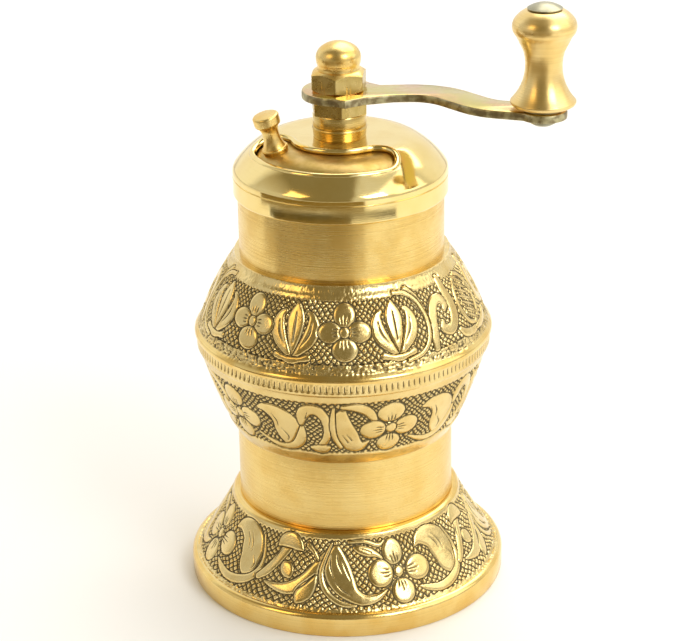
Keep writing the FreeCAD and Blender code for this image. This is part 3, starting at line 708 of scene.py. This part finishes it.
CAST = cast_brass()
SATIN = turned_metal("satin_brass", PALE_BRASS, rgb(0.83, 0.58, 0.19), (0.23, 0.31), 0.20, 0.25,
                     stretch=0.7)
BRUSHED = turned_metal("brushed_brass", PALE_BRASS, rgb(0.78, 0.53, 0.16), (0.23, 0.33), 0.30, 0.45,
                       stretch=0.8)
POLISHED = turned_metal("polished_brass", rgb(0.90, 0.72, 0.32), rgb(0.86, 0.66, 0.26),
                        (0.08, 0.13), 0.25, 0.05, 0.03, stripe=0.05)
RIM = turned_metal("polished_rim", PALE_BRASS, WARM_BRASS, (0.12, 0.20), 0.3, 0.12, 0.08,
                   stripe=0.15)
TURNED = turned_metal("turned_brass", rgb(0.72, 0.54, 0.21), rgb(0.62, 0.43, 0.13), (0.20, 0.30),
                      0.18, 0.14)
NUT_BRASS = plain_metal("nut_brass", rgb(0.82, 0.61, 0.23), WARM_BRASS, (0.26, 0.33), 0.6, 0.12,
                        0.15)
# darker copy of the nut brass: painted shade for the hex flats, which mirror the dark surroundings
NUT_PAINTED_SHADE = plain_metal("nut_brass_painted_shade", rgb(0.56, 0.43, 0.17), rgb(0.46, 0.34, 0.11), (0.24, 0.34),
                        0.6, 0.15)
GRIP_BRASS = turned_metal("grip_brass", rgb(0.90, 0.69, 0.31), rgb(0.84, 0.60, 0.22), (0.27, 0.34),
                          0.3, 0.10, 0.06, stripe=0.15, stretch=0.5, at=PIN_AT)
DOOR_BRASS = plain_metal("door_brass", rgb(0.60, 0.42, 0.15), rgb(0.48, 0.33, 0.09), (0.34, 0.46),
                         0.5, 0.45, 0.4)
PLATED = plain_metal("plated_steel", rgb(0.62, 0.52, 0.17), rgb(0.66, 0.44, 0.22), (0.18, 0.27),
                     0.5, 0.12, 0.10, cloud_mm=7.0)
SHEARED = plain_metal("sheared_steel", rgb(0.50, 0.45, 0.26), rgb(0.24, 0.19, 0.10), (0.32, 0.48),
                      0.4, 0.9, 0.85, cloud_mm=1.6)
ZINC_PLATE = plain_metal("zinc_plate", rgb(0.44, 0.41, 0.27), rgb(0.36, 0.34, 0.23), (0.28, 0.40),
                         0.4, 0.25)
STEEL = plain_metal("burr_steel", rgb(0.30, 0.30, 0.30), rgb(0.22, 0.22, 0.22), (0.32, 0.48), 0.4,
                    0.4)


# ---- foot and grounds cup
FOOT_WALL = 1.1           # of the foot's sleeve round the cup
FOOT_LEDGE_Z = 13.5       # top of the hollow under the foot


def make_foot():
    r, low, high = FOOT
    sleeve = CUP.r - FOOT_WALL
    rim_top, neck = (r - 1.4, low + 4.85), (r - 9.2, high - 0.45)
    before = soften([(r - 2.4, low, 0.2), (r - 0.2, low, 0.25), (r, low + 0.5), (r, low + 3.9)],
                    3, False)
    before = curve_on(before, (r - 0.3, low + 4.45), rim_top, 6)[:-1]
    flank = arc(rim_top, (r - 5.6, low + 11.3), neck, 60)
    after = arc(neck, (r - 9.8, high - 0.05), (CUP.r, high), 6)[1:]
    after += [(sleeve, high), (sleeve, FOOT_LEDGE_Z), (CUP.r + 1.9, FOOT_LEDGE_Z),
              (r - 4, low + 5.2), (r - 2.4, low + 4.0)]
    piece = engraved_piece("foot_casting", before, flank, after, r - 5.6, engrave_foot)
    place(piece, "grounds_cup", "cast_brass", CAST, "foot_flare")
    engraved_from, engraved_to = (low + 4.8) * MM, (high - 0.4) * MM
    second_finish(piece, RIM, lambda face: not engraved_from < face.center.z < engraved_to)


def make_cup():
    r, low, high = CUP
    inner, sleeve, spigot = r - 2.2, r - FOOT_WALL, r - 1.0
    loop = soften([
        (inner, low, 0.1), (sleeve, low, 0.1), (sleeve, FOOT.high), (r, FOOT.high, 0.12),
        (r, BOWL.low, 0.12), (spigot, BOWL.low), (spigot, high - 0.4), (spigot - 0.4, high),
        (inner, high)])
    place(turned_piece("cup_body", loop), "grounds_cup", "satin_brass", SATIN, "cup_tube")


# ---- mill body
SHELF_R = 13.0            # edge of the shelf that holds the burr, inside the bowl
TICK_DEPTH = 0.22


def make_bowl():
    r, low, high = BOWL
    bottom = r - 7.3
    socket = CUP.r - 0.95
    before = soften([(socket, low), (bottom, low, 0.2), (bottom + 0.05, low + 0.2)], 3, False)
    flank = arc((bottom + 0.05, low + 0.2), (bottom + 0.6, low + 1.05), (bottom + 1.5, low + 2.65))
    flank = curve_on(flank, (r - 2.75, low + 10.15), (r - 0.5, low + 17.4), 60)
    after = [(r - 0.25, low + 17.7)]
    after += [(r, low + rise) for rise in (18.0, 18.35, 18.7, 19.0, 19.3, 19.7, 20.1)]
    after += [(r, high), (r - 2.3, high), (r - 2.3, high - 4.25), (r - 3, high - 4.25)]
    after += [(r - 4.4, low + 9.95), (SHELF_R, low + 9.95), (SHELF_R, low + 7.95),
              (socket, low + 7.95)]
    ticks = (low + 18.4, low + 20.0, TICK_DEPTH)
    piece = engraved_piece("bowl_casting", before, flank, after, r - 3.2, engrave_bowl, ticks)
    place(piece, "mill_body", "cast_brass", CAST, "lower_bowl")


TUBE_SEAT_Z = 66.0        # underside of the neck that holds the tube
HOLLOW_MID_Z = 61.5       # middle and foot of the curve inside the shoulder
HOLLOW_LOW_Z = 57.5


def make_shoulder():
    r, low, high = SHOULDER
    split = BOWL.high
    before = [(r - 0.4, split), (r - 0.1, split)]
    before = curve_on(before, (r, split + 0.6), (r - 0.3, split + 1.2), 6)
    before += [(r - 0.7, split + 1.6)]
    flank = arc((r - 0.8, split + 1.85), (r - 4.0, split + 9.35), (r - 7.5, split + 15.25), 60)
    flank = curve_on(flank, (r - 8.2, split + 16.05), (r - 8.6, high), 8)
    after = [(TUBE.r, high), (TUBE.r, TUBE_SEAT_Z), (r - 7.7, TUBE_SEAT_Z)]
    after = curve_on(after, (r - 5.1, HOLLOW_MID_Z), (r - 3.9, HOLLOW_LOW_Z), 8)
    after += [(r - 3.9, low), (r - 2.7, low), (r - 2.7, split)]
    piece = engraved_piece("shoulder_casting", before, flank, after, r - 3.9, engrave_shoulder)
    place(piece, "mill_body", "cast_brass", CAST, "shoulder_shell")
    second_finish(piece, RIM, lambda face: face.center.z < (split + 1.5) * MM)


def make_hopper():
    r, low, high = TUBE
    inner = r - 1.2
    loop = soften([(inner, low, 0.1), (r, low, 0.1), (r, high, 0.1), (inner, high, 0.1)])
    place(turned_piece("hopper_body", loop), "mill_body", "brushed_brass", BRUSHED, "hopper_tube")


# ---- cover and filler door
CONE = math.radians(41.7)
CONE_START_R = 14.75      # where the CAD cover's flat top and its cone would meet
CROWN_R = 8.0             # round between its flat top and its cone
CORNER_R = 2.0            # round between its cone and its skirt
CROWN_TURN = math.radians(30)
CORNER_TURN = math.radians(54)
SHEET = 0.9
GROOVE_Z = 86.6           # thin line round the skirt
GROOVE_HALF = 0.16
SKIRT_TOP_Z = 86.0        # where the inside of the skirt ends
COVER_COLUMNS = 384
SLOT_R = 13.35
SLOT_HALF = 4.15
SLOT_FROM, SLOT_TO = 193.0, 301.0


def dome_outline(depth=0.0):
    """The cover's face from its flat top out to the skirt: a tight, a wide and a tight arc.

    The wide arc stands in for the CAD's straight cone between the same two ends.
    """
    (sin1, cos1), (sin2, cos2) = ((math.sin(a), math.cos(a)) for a in (CROWN_TURN, CORNER_TURN))
    cone_end_z = COVER.high - (COVER.r - CONE_START_R) * math.tan(CONE)
    corner_z = cone_end_z - CORNER_R * math.tan((math.pi / 2 - CONE) / 2)
    fall = COVER.high - corner_z - CROWN_R * (1 - cos1) - CORNER_R * cos2
    wide_r = fall / (cos1 - cos2)
    crown_x = COVER.r - CORNER_R * (1 - sin2) - wide_r * (sin2 - sin1) - CROWN_R * sin1
    crown_hub = Vector((crown_x, COVER.high - CROWN_R))
    wide_hub = crown_hub - Vector((sin1, cos1)) * (wide_r - CROWN_R)
    corner_hub = Vector((COVER.r - CORNER_R, corner_z))
    steps = 10
    return (slope_arc(crown_hub, CROWN_R - depth, 0.0, CROWN_TURN, steps)
            + slope_arc(wide_hub, wide_r - depth, CROWN_TURN, CORNER_TURN, steps)[1:]
            + slope_arc(corner_hub, CORNER_R - depth, CORNER_TURN, math.pi / 2, steps)[1:])


def dome_height(radius, depth=0.0):
    """Height of the cover's face at a radius."""
    r, z = zip(*([(0, COVER.high - depth)] + dome_outline(depth)))
    return float(np.interp(radius, r, z))


def slot_outline(steps=40, end_steps=16):
    """Points round the curved slot with round ends, seen from above."""
    points = []
    for first, last, side in ((SLOT_FROM, SLOT_TO, 1), (SLOT_TO, SLOT_FROM, -1)):
        r = SLOT_R + side * SLOT_HALF
        for i in range(steps + 1):
            a = math.radians(first + (last - first) * i / steps)
            points.append((r * math.cos(a), r * math.sin(a)))
        end = math.radians(last)
        hub_x, hub_y = SLOT_R * math.cos(end), SLOT_R * math.sin(end)
        for i in range(1, end_steps):
            turn = math.pi * i / end_steps + (end if side == 1 else end + math.pi)
            points.append((hub_x + SLOT_HALF * math.cos(turn), hub_y + SLOT_HALF * math.sin(turn)))
    return points


def make_cover():
    r, low, high = COVER
    inner, hole = r - SHEET, BUSH.r - 1.25
    under = high - SHEET
    groove_low, groove_high = (r, GROOVE_Z - GROOVE_HALF), (r, GROOVE_Z + GROOVE_HALF)
    skirt = soften([(inner, low, 0.1), (r - 0.2, low, 0.1), (r, low + 0.3, 0.1), groove_low],
                   3, False)
    skirt = curve_on(skirt, (r - GROOVE_HALF, GROOVE_Z), groove_high, 4)
    top = [(10.0, high), (7.5, high), (hole, high), (hole, under), (8.0, under)]
    loop = skirt + dome_outline()[::-1] + top + dome_outline(SHEET)
    loop += [(inner, SKIRT_TOP_Z), (r - 0.8, SKIRT_TOP_Z)]
    piece = turned_piece("cover_cap", loop, COVER_COLUMNS)
    cut_slot(piece)
    place(piece, "mill_body", "polished_brass", POLISHED, "cover")
    place(slot_lip(), "mill_body", "polished_brass", POLISHED)


def cut_slot(piece):
    """Cut the slot through a piece with a prism that is then thrown away."""
    outline = slot_outline()
    count = len(outline)
    points = [(x, y, z) for z in (COVER.low + 1, COVER.high + 1) for x, y in outline]
    faces = grid_quads(2, count, closed_rows=False).tolist()
    faces += [tuple(range(count))[::-1], tuple(range(count, 2 * count))]
    cutter = new_mesh("slot_cutter", points, faces)
    cut = piece.modifiers.new("slot", "BOOLEAN")
    cut.object = cutter
    cut.operation = "DIFFERENCE"
    cut.solver = "EXACT"
    graph = bpy.context.evaluated_depsgraph_get()
    mesh = bpy.data.meshes.new_from_object(piece.evaluated_get(graph))
    piece.modifiers.clear()
    piece.data = mesh
    shade(mesh, 30)
    bpy.data.objects.remove(cutter)


def slot_lip(radius=0.68, sides=16):
    """Rolled lip round the slot: a bead that follows the cover's curve."""
    outline = np.array(slot_outline())
    points = []
    for (x, y), (nx, ny) in zip(outline, outward(outline)):
        here = math.hypot(x, y)
        z = dome_height(here, SHEET / 2)
        slope = (dome_height(here - 0.05) - dome_height(here + 0.05)) / 0.1
        tilt = math.atan(slope * (nx * x + ny * y) / here)
        for k in range(sides):
            a = math.tau * k / sides - tilt
            out = radius * math.cos(a)
            points.append((x + nx * out, y + ny * out, z + radius * math.sin(a)))
    return new_mesh("slot_lip", points, grid_quads(len(outline), sides))


DOOR_DEPTH = SHEET + 0.2   # of the door's face under the cover's
DOOR_SHEET = 0.8
DOOR_FROM, DOOR_TO = 170.0, 325.0
DOOR_EDGE_R = 18.7
DOOR_COLUMNS = 120
KNOB_R, KNOB_AT, KNOB_TILT = 13.45, 202.0, 15.0


def crown_points(depth, first, last, steps):
    """The round of the CAD's cover between two slopes, at a depth under its face."""
    hub = (CONE_START_R - CROWN_R * math.tan(CONE / 2), COVER.high - CROWN_R)
    return slope_arc(hub, CROWN_R - depth, first, last, steps)


def door_face(depth):
    """The door's outline at one depth, from near the axis to its edge."""
    crown = crown_points(depth, 0.0, CONE, 10)
    cone_r, cone_z = crown[-1]
    edge = (DOOR_EDGE_R, cone_z - (DOOR_EDGE_R - cone_r) * math.tan(CONE))
    return [(6.0, COVER.high - depth), (9.0, COVER.high - depth)] + crown + [edge]


def make_door():
    upper, lower = door_face(DOOR_DEPTH)[::-1], door_face(DOOR_DEPTH + DOOR_SHEET)
    round_edge = 0.15
    loop = np.array(soften([(*upper[0], round_edge)] + upper[1:] + lower[:-1]
                           + [(*lower[-1], round_edge)]))
    angles = np.radians(np.linspace(DOOR_FROM, DOOR_TO, DOOR_COLUMNS))
    points = turned_points(loop[:, :1], loop[:, 1:], angles)
    faces = grid_quads(len(loop), DOOR_COLUMNS, closed_columns=False).tolist()
    end = range(0, len(points), DOOR_COLUMNS)
    faces += [tuple(end), tuple(i + DOOR_COLUMNS - 1 for i in end)[::-1]]
    place(new_mesh("door_plate", points, faces), "door", "door_brass", DOOR_BRASS, "filler_door")
    hole, rim = BUSH.r - 1.2, 8.0
    top = COVER.high - DOOR_DEPTH
    under = top - DOOR_SHEET
    ring = soften([(hole, under, 0.1), (rim, under, 0.1), (rim, top, 0.1), (hole, top, 0.1)])
    place(turned_piece("door_hub", ring, 96), "door", "door_brass", DOOR_BRASS)


def knob_place():
    """Moves a shape made upright at the origin to the knob's seat on the door."""
    tilt = math.radians(KNOB_TILT)
    seat = crown_points(DOOR_DEPTH, tilt, tilt, 1)[0][1]
    turn = Matrix.Rotation(math.radians(KNOB_AT), 4, "Z")
    lean = Matrix.Rotation(tilt, 4, "Y")
    return turn @ Matrix.Translation(Vector((KNOB_R, 0, seat)) * MM) @ lean


def make_knob():
    flange = curve_on([(0, -0.6), (2.4, -0.6), (2.5, 0.25)], (2.6, 0.6), (2.45, 0.9), 4)
    stem = curve_on(flange + [(2.25, 0.95)], (1.75, 2.6), (1.65, 4.0), 8)
    head = curve_on(stem, (1.85, 5.0), (2.5, 5.75), 6) + [(2.6, 6.1, 0.1), (2.6, 7.3, 0.1)]
    loop = head + arc((2.6, 7.3), (2.5, 7.6), (2.2, 7.75), 4)[1:] + [(0, 7.85)]
    piece = turned_piece("knob_body", soften(loop, closed=False), 96)
    piece.data.transform(knob_place())
    place(piece, "door", "turned_brass", NUT_BRASS, "door_knob")


# ---- centre stack
BUSH_RIM_Z = 95.95        # where the bush is widest


def make_bush():
    r, low, high = BUSH
    shank = r - 1.25
    loop = soften([(SHAFT_BORE, low), (shank, low), (shank, COVER.high),
                   (r - 0.3, COVER.high, 0.1), (r - 0.15, BUSH_RIM_Z - 0.35), (r, BUSH_RIM_Z, 0.15),
                   (r - 0.15, high, 0.12), (SHAFT_BORE, high)])
    place(turned_piece("bush_body", loop, 128), "mill_body", "turned_brass", TURNED, "cover_bush")


def make_collar():
    r, low, high = COLLAR
    loop = soften([(SHAFT_BORE, low), (r - 0.05, low, 0.1), (r, low + 0.3), (r, high - 0.3),
                   (r - 0.15, high, 0.1), (SHAFT_BORE, high)])
    piece = turned_piece("collar_body", loop, 128)
    place(piece, "mill_body", "turned_brass", TURNED, "thrust_collar")


HEX_COLUMNS = 360
HEX_SHARPNESS = 70        # how tightly the corners between the flats turn
TOP_CHAMFER = math.radians(32)
LOW_CHAMFER = math.radians(30)
NUT_WIDTH, NUT_CORNER = 10.2, -86.0     # across the flats, and the angle of one corner
CAP_WIDTH, CAP_CORNER = 10.0, -97.7


def hexagon_grid(width, low, high, corner, bore, chamfer_low=False, crown=()):
    """Points and quads of a nut whose corners are turned off at the top, and below if asked.

    crown carries the outline on from the top of the flats, in place of a flat top.
    """
    angles = full_turn(HEX_COLUMNS)
    half = width / 2
    sides = [math.radians(corner + 30 + 60 * k) for k in range(6)]
    total = sum(np.clip(np.cos(angles - side), 0, 1) ** HEX_SHARPNESS for side in sides)
    radius = half / total ** (1 / HEX_SHARPNESS)
    rows = [(bore, low), (half * 0.85, low)]
    if chamfer_low:
        rise = np.clip(radius - half + 0.05, 0, None) * math.tan(LOW_CHAMFER)
        rows += [(half, low), (radius, low + rise)]
    else:
        rows += [(radius - 0.08, low), (radius, low + 0.08)]
    drop = (radius - half * 0.9) * math.tan(TOP_CHAMFER)
    rows += [(radius, high - drop - 0.06), (radius - 0.05, high - drop), (half * 0.9, high),
             (half * 0.87, high)]
    rows += crown or [(bore, high)]
    points = [turned_points(r, z, angles) for r, z in rows]
    return np.concatenate(points), grid_quads(len(rows), HEX_COLUMNS)


def make_adjusting_nut():
    points, faces = hexagon_grid(NUT_WIDTH, NUT.low, NUT.high, NUT_CORNER, 3.0)
    piece = new_mesh("nut_body", points, faces, 25)
    # the whole nut takes the darker copy of the nut brass: painted shade
    place(piece, "adjuster", "turned_brass", NUT_PAINTED_SHADE, "adjusting_nut")


def make_cap_nut():
    low, top = CAP.low, CAP.high
    hex_top = low + 4.0
    neck = [(4.2, hex_top + 0.05), (4.1, hex_top + 0.4)]
    neck = curve_on(neck, (4.12, hex_top + 0.85), (4.3, hex_top + 1.3), 5)
    crown_r, crown_z, side = 4.4, low + 6.3, 2.6
    inset, rise = crown_r - side, top - crown_z
    radius = (rise * rise + inset * inset - side * side) / (2 * (rise - side))
    lean = math.atan2(inset, radius - rise)
    crown = slope_arc((inset, crown_z), side, math.pi / 2, lean, 8)
    crown += slope_arc((0, top - radius), radius, lean, 0, 6)[1:]
    thread, mouth = 2.5, 3.1
    bore = [(0, low + 7.7), (thread, low + 7.7), (thread, low + 1.5), (mouth, low + 1.5)]
    outline = neck + crown + bore
    points, faces = hexagon_grid(CAP_WIDTH, low, hex_top, CAP_CORNER, mouth, True, outline)
    piece = new_mesh("cap_nut_body", points, faces, 25)
    place(piece, "crank", "turned_brass", NUT_BRASS, "cap_nut")
    # the hex flats take the darker copy of the nut brass: painted shade
    second_finish(piece, NUT_PAINTED_SHADE,
                  lambda face: face.center.z < hex_top * MM and abs(face.normal.z) < 0.4)


# ---- crank and grip
ARM_RUN = 0.6             # longest straight run left in the arm's outline


def face_loops(node, height):
    """Closed outlines of the CAD node's flat face at a height, in millimetres."""
    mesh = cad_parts[node].data
    edges = []
    for polygon in mesh.polygons:
        corners = [mesh.vertices[i].co / MM for i in polygon.vertices]
        if any(abs(c.z - height) > 1e-3 for c in corners):
            continue
        keys = [(round(c.x, 3), round(c.y, 3)) for c in corners]
        edges += zip(keys, keys[1:] + keys[:1])
    known = set(edges)
    after = {a: b for a, b in edges if (b, a) not in known}
    loops = []
    while after:
        start = next(iter(after))
        loop = [start]
        here = after.pop(start)
        while here != start:
            loop.append(here)
            here = after.pop(here)
        loops.append(loop)
    return sorted(loops, key=lambda l: -max(math.hypot(*p) for p in l) - len(l))


def inset_loop(loop, amount):
    """The loop moved towards the metal by an amount; the metal lies on its left."""
    p = np.array(loop)
    before, after = p - np.roll(p, 1, axis=0), np.roll(p, -1, axis=0) - p
    before /= np.linalg.norm(before, axis=1, keepdims=True)
    after /= np.linalg.norm(after, axis=1, keepdims=True)
    normal = np.stack([-(before + after)[:, 1], (before + after)[:, 0]], 1)
    normal /= np.linalg.norm(normal, axis=1, keepdims=True)
    left = np.stack([-before[:, 1], before[:, 0]], 1)
    stretch = 1 / np.clip((normal * left).sum(1), 0.5, 1)
    return p + normal * amount * stretch[:, None]


def make_arm():
    """Bar sheared from plate: the CAD outline with a torn lower edge and a rounded upper one."""
    low, high = ARM.low, ARM.high
    edge = [(0.22, low), (0.05, low + 0.08), (0.0, low + 0.3), (0.0, high - 0.45),
            (0.05, high - 0.22), (0.16, high - 0.06), (0.34, high)]
    points, faces = [], []
    lower, upper = [], []
    for loop in face_loops("crank_arm", high):
        loop = evenly_loop(loop, ARM_RUN)
        count, start = len(loop), len(points)
        for inset, z in edge:
            points += [(x, y, z) for x, y in inset_loop(loop, inset)]
        faces += (grid_quads(len(edge), count, closed_rows=False) + start).tolist()
        lower.append(range(start, start + count))
        upper.append(range(len(points) - count, len(points)))
    for rims in (lower, upper):
        flat = [i for rim in rims for i in rim]
        outlines = [[Vector((*points[i][:2], 0)) for i in rim] for rim in rims]
        for triangle in tessellate_polygon(outlines):
            face = tuple(flat[i] for i in triangle)
            (ax, ay), (bx, by), (cx, cy) = (points[i][:2] for i in face)
            upward = (bx - ax) * (cy - ay) - (by - ay) * (cx - ax) > 0
            faces.append(face if upward == (rims is upper) else face[::-1])
    piece = new_mesh("arm_strip", points, faces, 40)
    place(piece, "crank", "plated_steel", PLATED, "crank_arm")
    second_finish(piece, SHEARED, lambda face: abs(face.normal.z) < 0.6)


def make_grip():
    low, high = GRIP.low, GRIP.high
    bore = 2.05
    foot = [(bore, low), (5.4, low, 0.2), (6.0, low + 0.35), (6.2, low + 0.65),
            (6.2, low + 1.0, 0.15), (6.0, low + 1.25)]
    waist = curve_on(foot, (3.62, low + 6.35), (3.9, low + 10.55), 28) + [(5.0, low + 12.85, 3.0)]
    head = arc((5.35, low + 13.5), (6.05, low + 15.05), (5.26, low + 17.05), 14)
    head = curve_on(head, (4.6, low + 17.7), (3.5, high), 6) + [(bore, high)]
    piece = turned_piece("grip_body", soften(waist + head, 5), 160, PIN_AT)
    place(piece, "grip_body", "grip_brass", GRIP_BRASS, "grip")


def make_pin():
    low, high = PIN.low, PIN.high
    rise, head_z = 1.0, high - 1.2
    dome_r = (PIN.r ** 2 + rise ** 2) / (2 * rise)
    lean = math.asin(PIN.r / dome_r)
    loop = [(0, low), (1.7, low), (2.5, low + 0.5), (2.6, ARM.low), (2.0, ARM.low), (2.0, head_z),
            (PIN.r - 0.05, head_z)]
    loop += slope_arc((0, high - dome_r), dome_r, lean, 0, 10)
    piece = turned_piece("pin_body", loop, 96, PIN_AT)
    place(piece, "crank", "plated_steel", ZINC_PLATE, "grip_spindle")


for make in (make_foot, make_cup, make_bowl, make_shoulder, make_hopper, make_cover, make_door,
             make_knob, make_bush, make_collar, make_adjusting_nut, make_cap_nut, make_arm,
             make_grip, make_pin):
    make()

NODE_FINISH = [
    ("satin_brass", SATIN, ["base_plate"]),
    ("turned_brass", TURNED, ["bush_nut", "bridge_bush"]),
    ("burr_steel", STEEL, ["stator_burr", "rotor_burr", "burr_spring"]),
    ("plated_steel", ZINC_PLATE, [
        "door_washer", "burr_screws", "shaft_bridge", "bridge_screws", "door_knob_screw",
        "grip_washer", "drive_shaft", "rotor_washer", "rotor_nut"])]
for slot_name, finish, nodes in NODE_FINISH:
    for node in nodes:
        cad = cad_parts[node]
        cad.data.materials.clear()
        cad.data.materials.append(finish)


# ---- floor, light and camera
FLOOR_HALF = 6.0          # metres
CARD_LIFT = 0.0004        # metres above the floor
WALLS = [("X", 0.10, 0.26, 0.75), ("X", -0.35, -0.95, 0.70), ("Y", 0.05, 0.45, 1.05)]
DIM_WALL = 0.26
WALL_TINTS = [(0.26, rgb(1.0, 0.86, 0.52)), (0.70, rgb(1.0, 0.99, 0.97))]


def studio_piece(name, points, faces, finish):
    """Flat piece that isn't part of the mill, from points in metres."""
    mesh = bpy.data.meshes.new(name)
    mesh.from_pydata(points, [], faces)
    mesh.materials.append(finish)
    return new_object(name, mesh)


def plain_finish(name, colour, roughness):
    """Material of something that isn't part of the mill."""
    material = bpy.data.materials.new(name)
    material.use_nodes = True
    shader = material.node_tree.nodes["Principled BSDF"]
    shader.inputs["Base Color"].default_value = colour
    shader.inputs["Roughness"].default_value = roughness
    shader.inputs["Specular IOR Level"].default_value = 0.0
    return material


def make_floor():
    half = FLOOR_HALF
    corners = [(-half, -half, 0), (half, -half, 0), (half, half, 0), (-half, half, 0)]
    finish = plain_finish("pale_floor", rgb(0.90, 0.90, 0.89), 0.6)
    floor = studio_piece("floor", corners, [(0, 1, 2, 3)], finish)


def make_flag(name, card, first, last, inner, outer, steps=28):
    """Card on the table round the front, out of the picture, for the polished brass to mirror."""
    angles = [math.radians(first + (last - first) * i / steps) for i in range(steps + 1)]
    points = [(r * math.cos(a), r * math.sin(a), CARD_LIFT) for a in angles for r in (inner, outer)]
    faces = [(k, k + 1, k + 3, k + 2) for k in range(0, 2 * steps, 2)]
    flag = studio_piece(name, points, faces, card)
    flag.visible_camera = False
    flag.visible_diffuse = False
    flag.visible_shadow = False


def softbox(name, azimuth, elevation, distance, wide, tall, watts, colour):
    """Area light that faces the mill from a direction given in degrees."""
    data = bpy.data.lights.new(name, "AREA")
    data.shape = "RECTANGLE"
    data.size, data.size_y = wide, tall
    data.energy = watts
    data.color = colour
    lamp = new_object(name, data)
    a, e = math.radians(azimuth), math.radians(elevation)
    away = Vector((math.cos(a) * math.cos(e), math.sin(a) * math.cos(e), math.sin(e)))
    target = Vector((0, 0, (CAD_BOX[0].z + CAD_BOX[1].z) / 2))
    lamp.location = target + away * distance
    lamp.rotation_euler = (-away).to_track_quat("-Z", "Y").to_euler()


def world_glow(world):
    """Studio walls: bright at the right and behind the mill, dim in front of it at the left."""
    tree = Tree(world.node_tree)
    split = tree.add("SeparateXYZ", {0: tree.add("TexCoord").outputs["Generated"]})
    glow = DIM_WALL
    for axis, low, high, strength in WALLS:
        wall = tree.ramp(split.outputs[axis], low, high, 0.0, strength)
        glow = tree.math("MAXIMUM", wall, glow)
    tint = tree.add("ValToRGB", {"Fac": glow})
    for element, (position, colour) in zip(tint.color_ramp.elements, WALL_TINTS):
        element.position = position
        element.color = colour
    sky = tree.nodes["Background"]
    tree.wire(tint.outputs["Color"], sky.inputs["Color"])
    tree.wire(glow, sky.inputs["Strength"])


def make_light():
    softbox("key_box", -50, 37, 1.2, 0.46, 0.5, 5.0, (1.0, 0.99, 0.97))
    softbox("right_box", -8, 34, 1.2, 0.9, 0.9, 2.6, (1.0, 0.98, 0.94))
    softbox("left_box", -144, 36, 1.2, 0.42, 0.5, 1.5, (1.0, 0.70, 0.32))
    softbox("back_box", 60, 58, 1.3, 1.1, 1.1, 9.5, (1.0, 0.98, 0.95))
    world = bpy.data.worlds.new("studio")
    world.use_nodes = True
    world_glow(world)
    bpy.context.scene.world = world
    dark = plain_finish("dark_card", rgb(0.040, 0.034, 0.013), 0.9)
    tan = plain_finish("tan_card", rgb(0.20, 0.145, 0.05), 0.9)
    make_flag("wide_flag", dark, -168, -32, 0.205, 0.236)
    make_flag("left_flag", tan, -164, -80, 0.150, 0.205)
    make_flag("far_flag", tan, -180, -66, 0.244, 0.9)


CAMERA_DISTANCE = 0.4424  # metres
CAMERA_DOWN = 22.71       # degrees
CAMERA_ROLL = -1.05       # degrees
CAMERA_AIM_Z = 0.05463    # metres
CAMERA_LENS = 115.64
CAMERA_SHIFT_X = -0.0054


def make_camera():
    data = bpy.data.cameras.new("camera")
    data.lens = CAMERA_LENS
    data.shift_x = CAMERA_SHIFT_X
    data.clip_start = 0.01
    camera = new_object("camera", data)
    down = math.radians(CAMERA_DOWN)
    back = Vector((0, -math.cos(down), math.sin(down)))
    camera.location = Vector((0, 0, CAMERA_AIM_Z)) + back * CAMERA_DISTANCE
    aim = (-back).to_track_quat("-Z", "Y").to_matrix()
    roll = Matrix.Rotation(math.radians(CAMERA_ROLL), 3, "Z")
    camera.rotation_euler = (aim @ roll).to_euler()
    bpy.context.scene.camera = camera


make_floor()
make_light()
make_camera()
bpy.context.scene.view_settings.view_transform = "Standard"
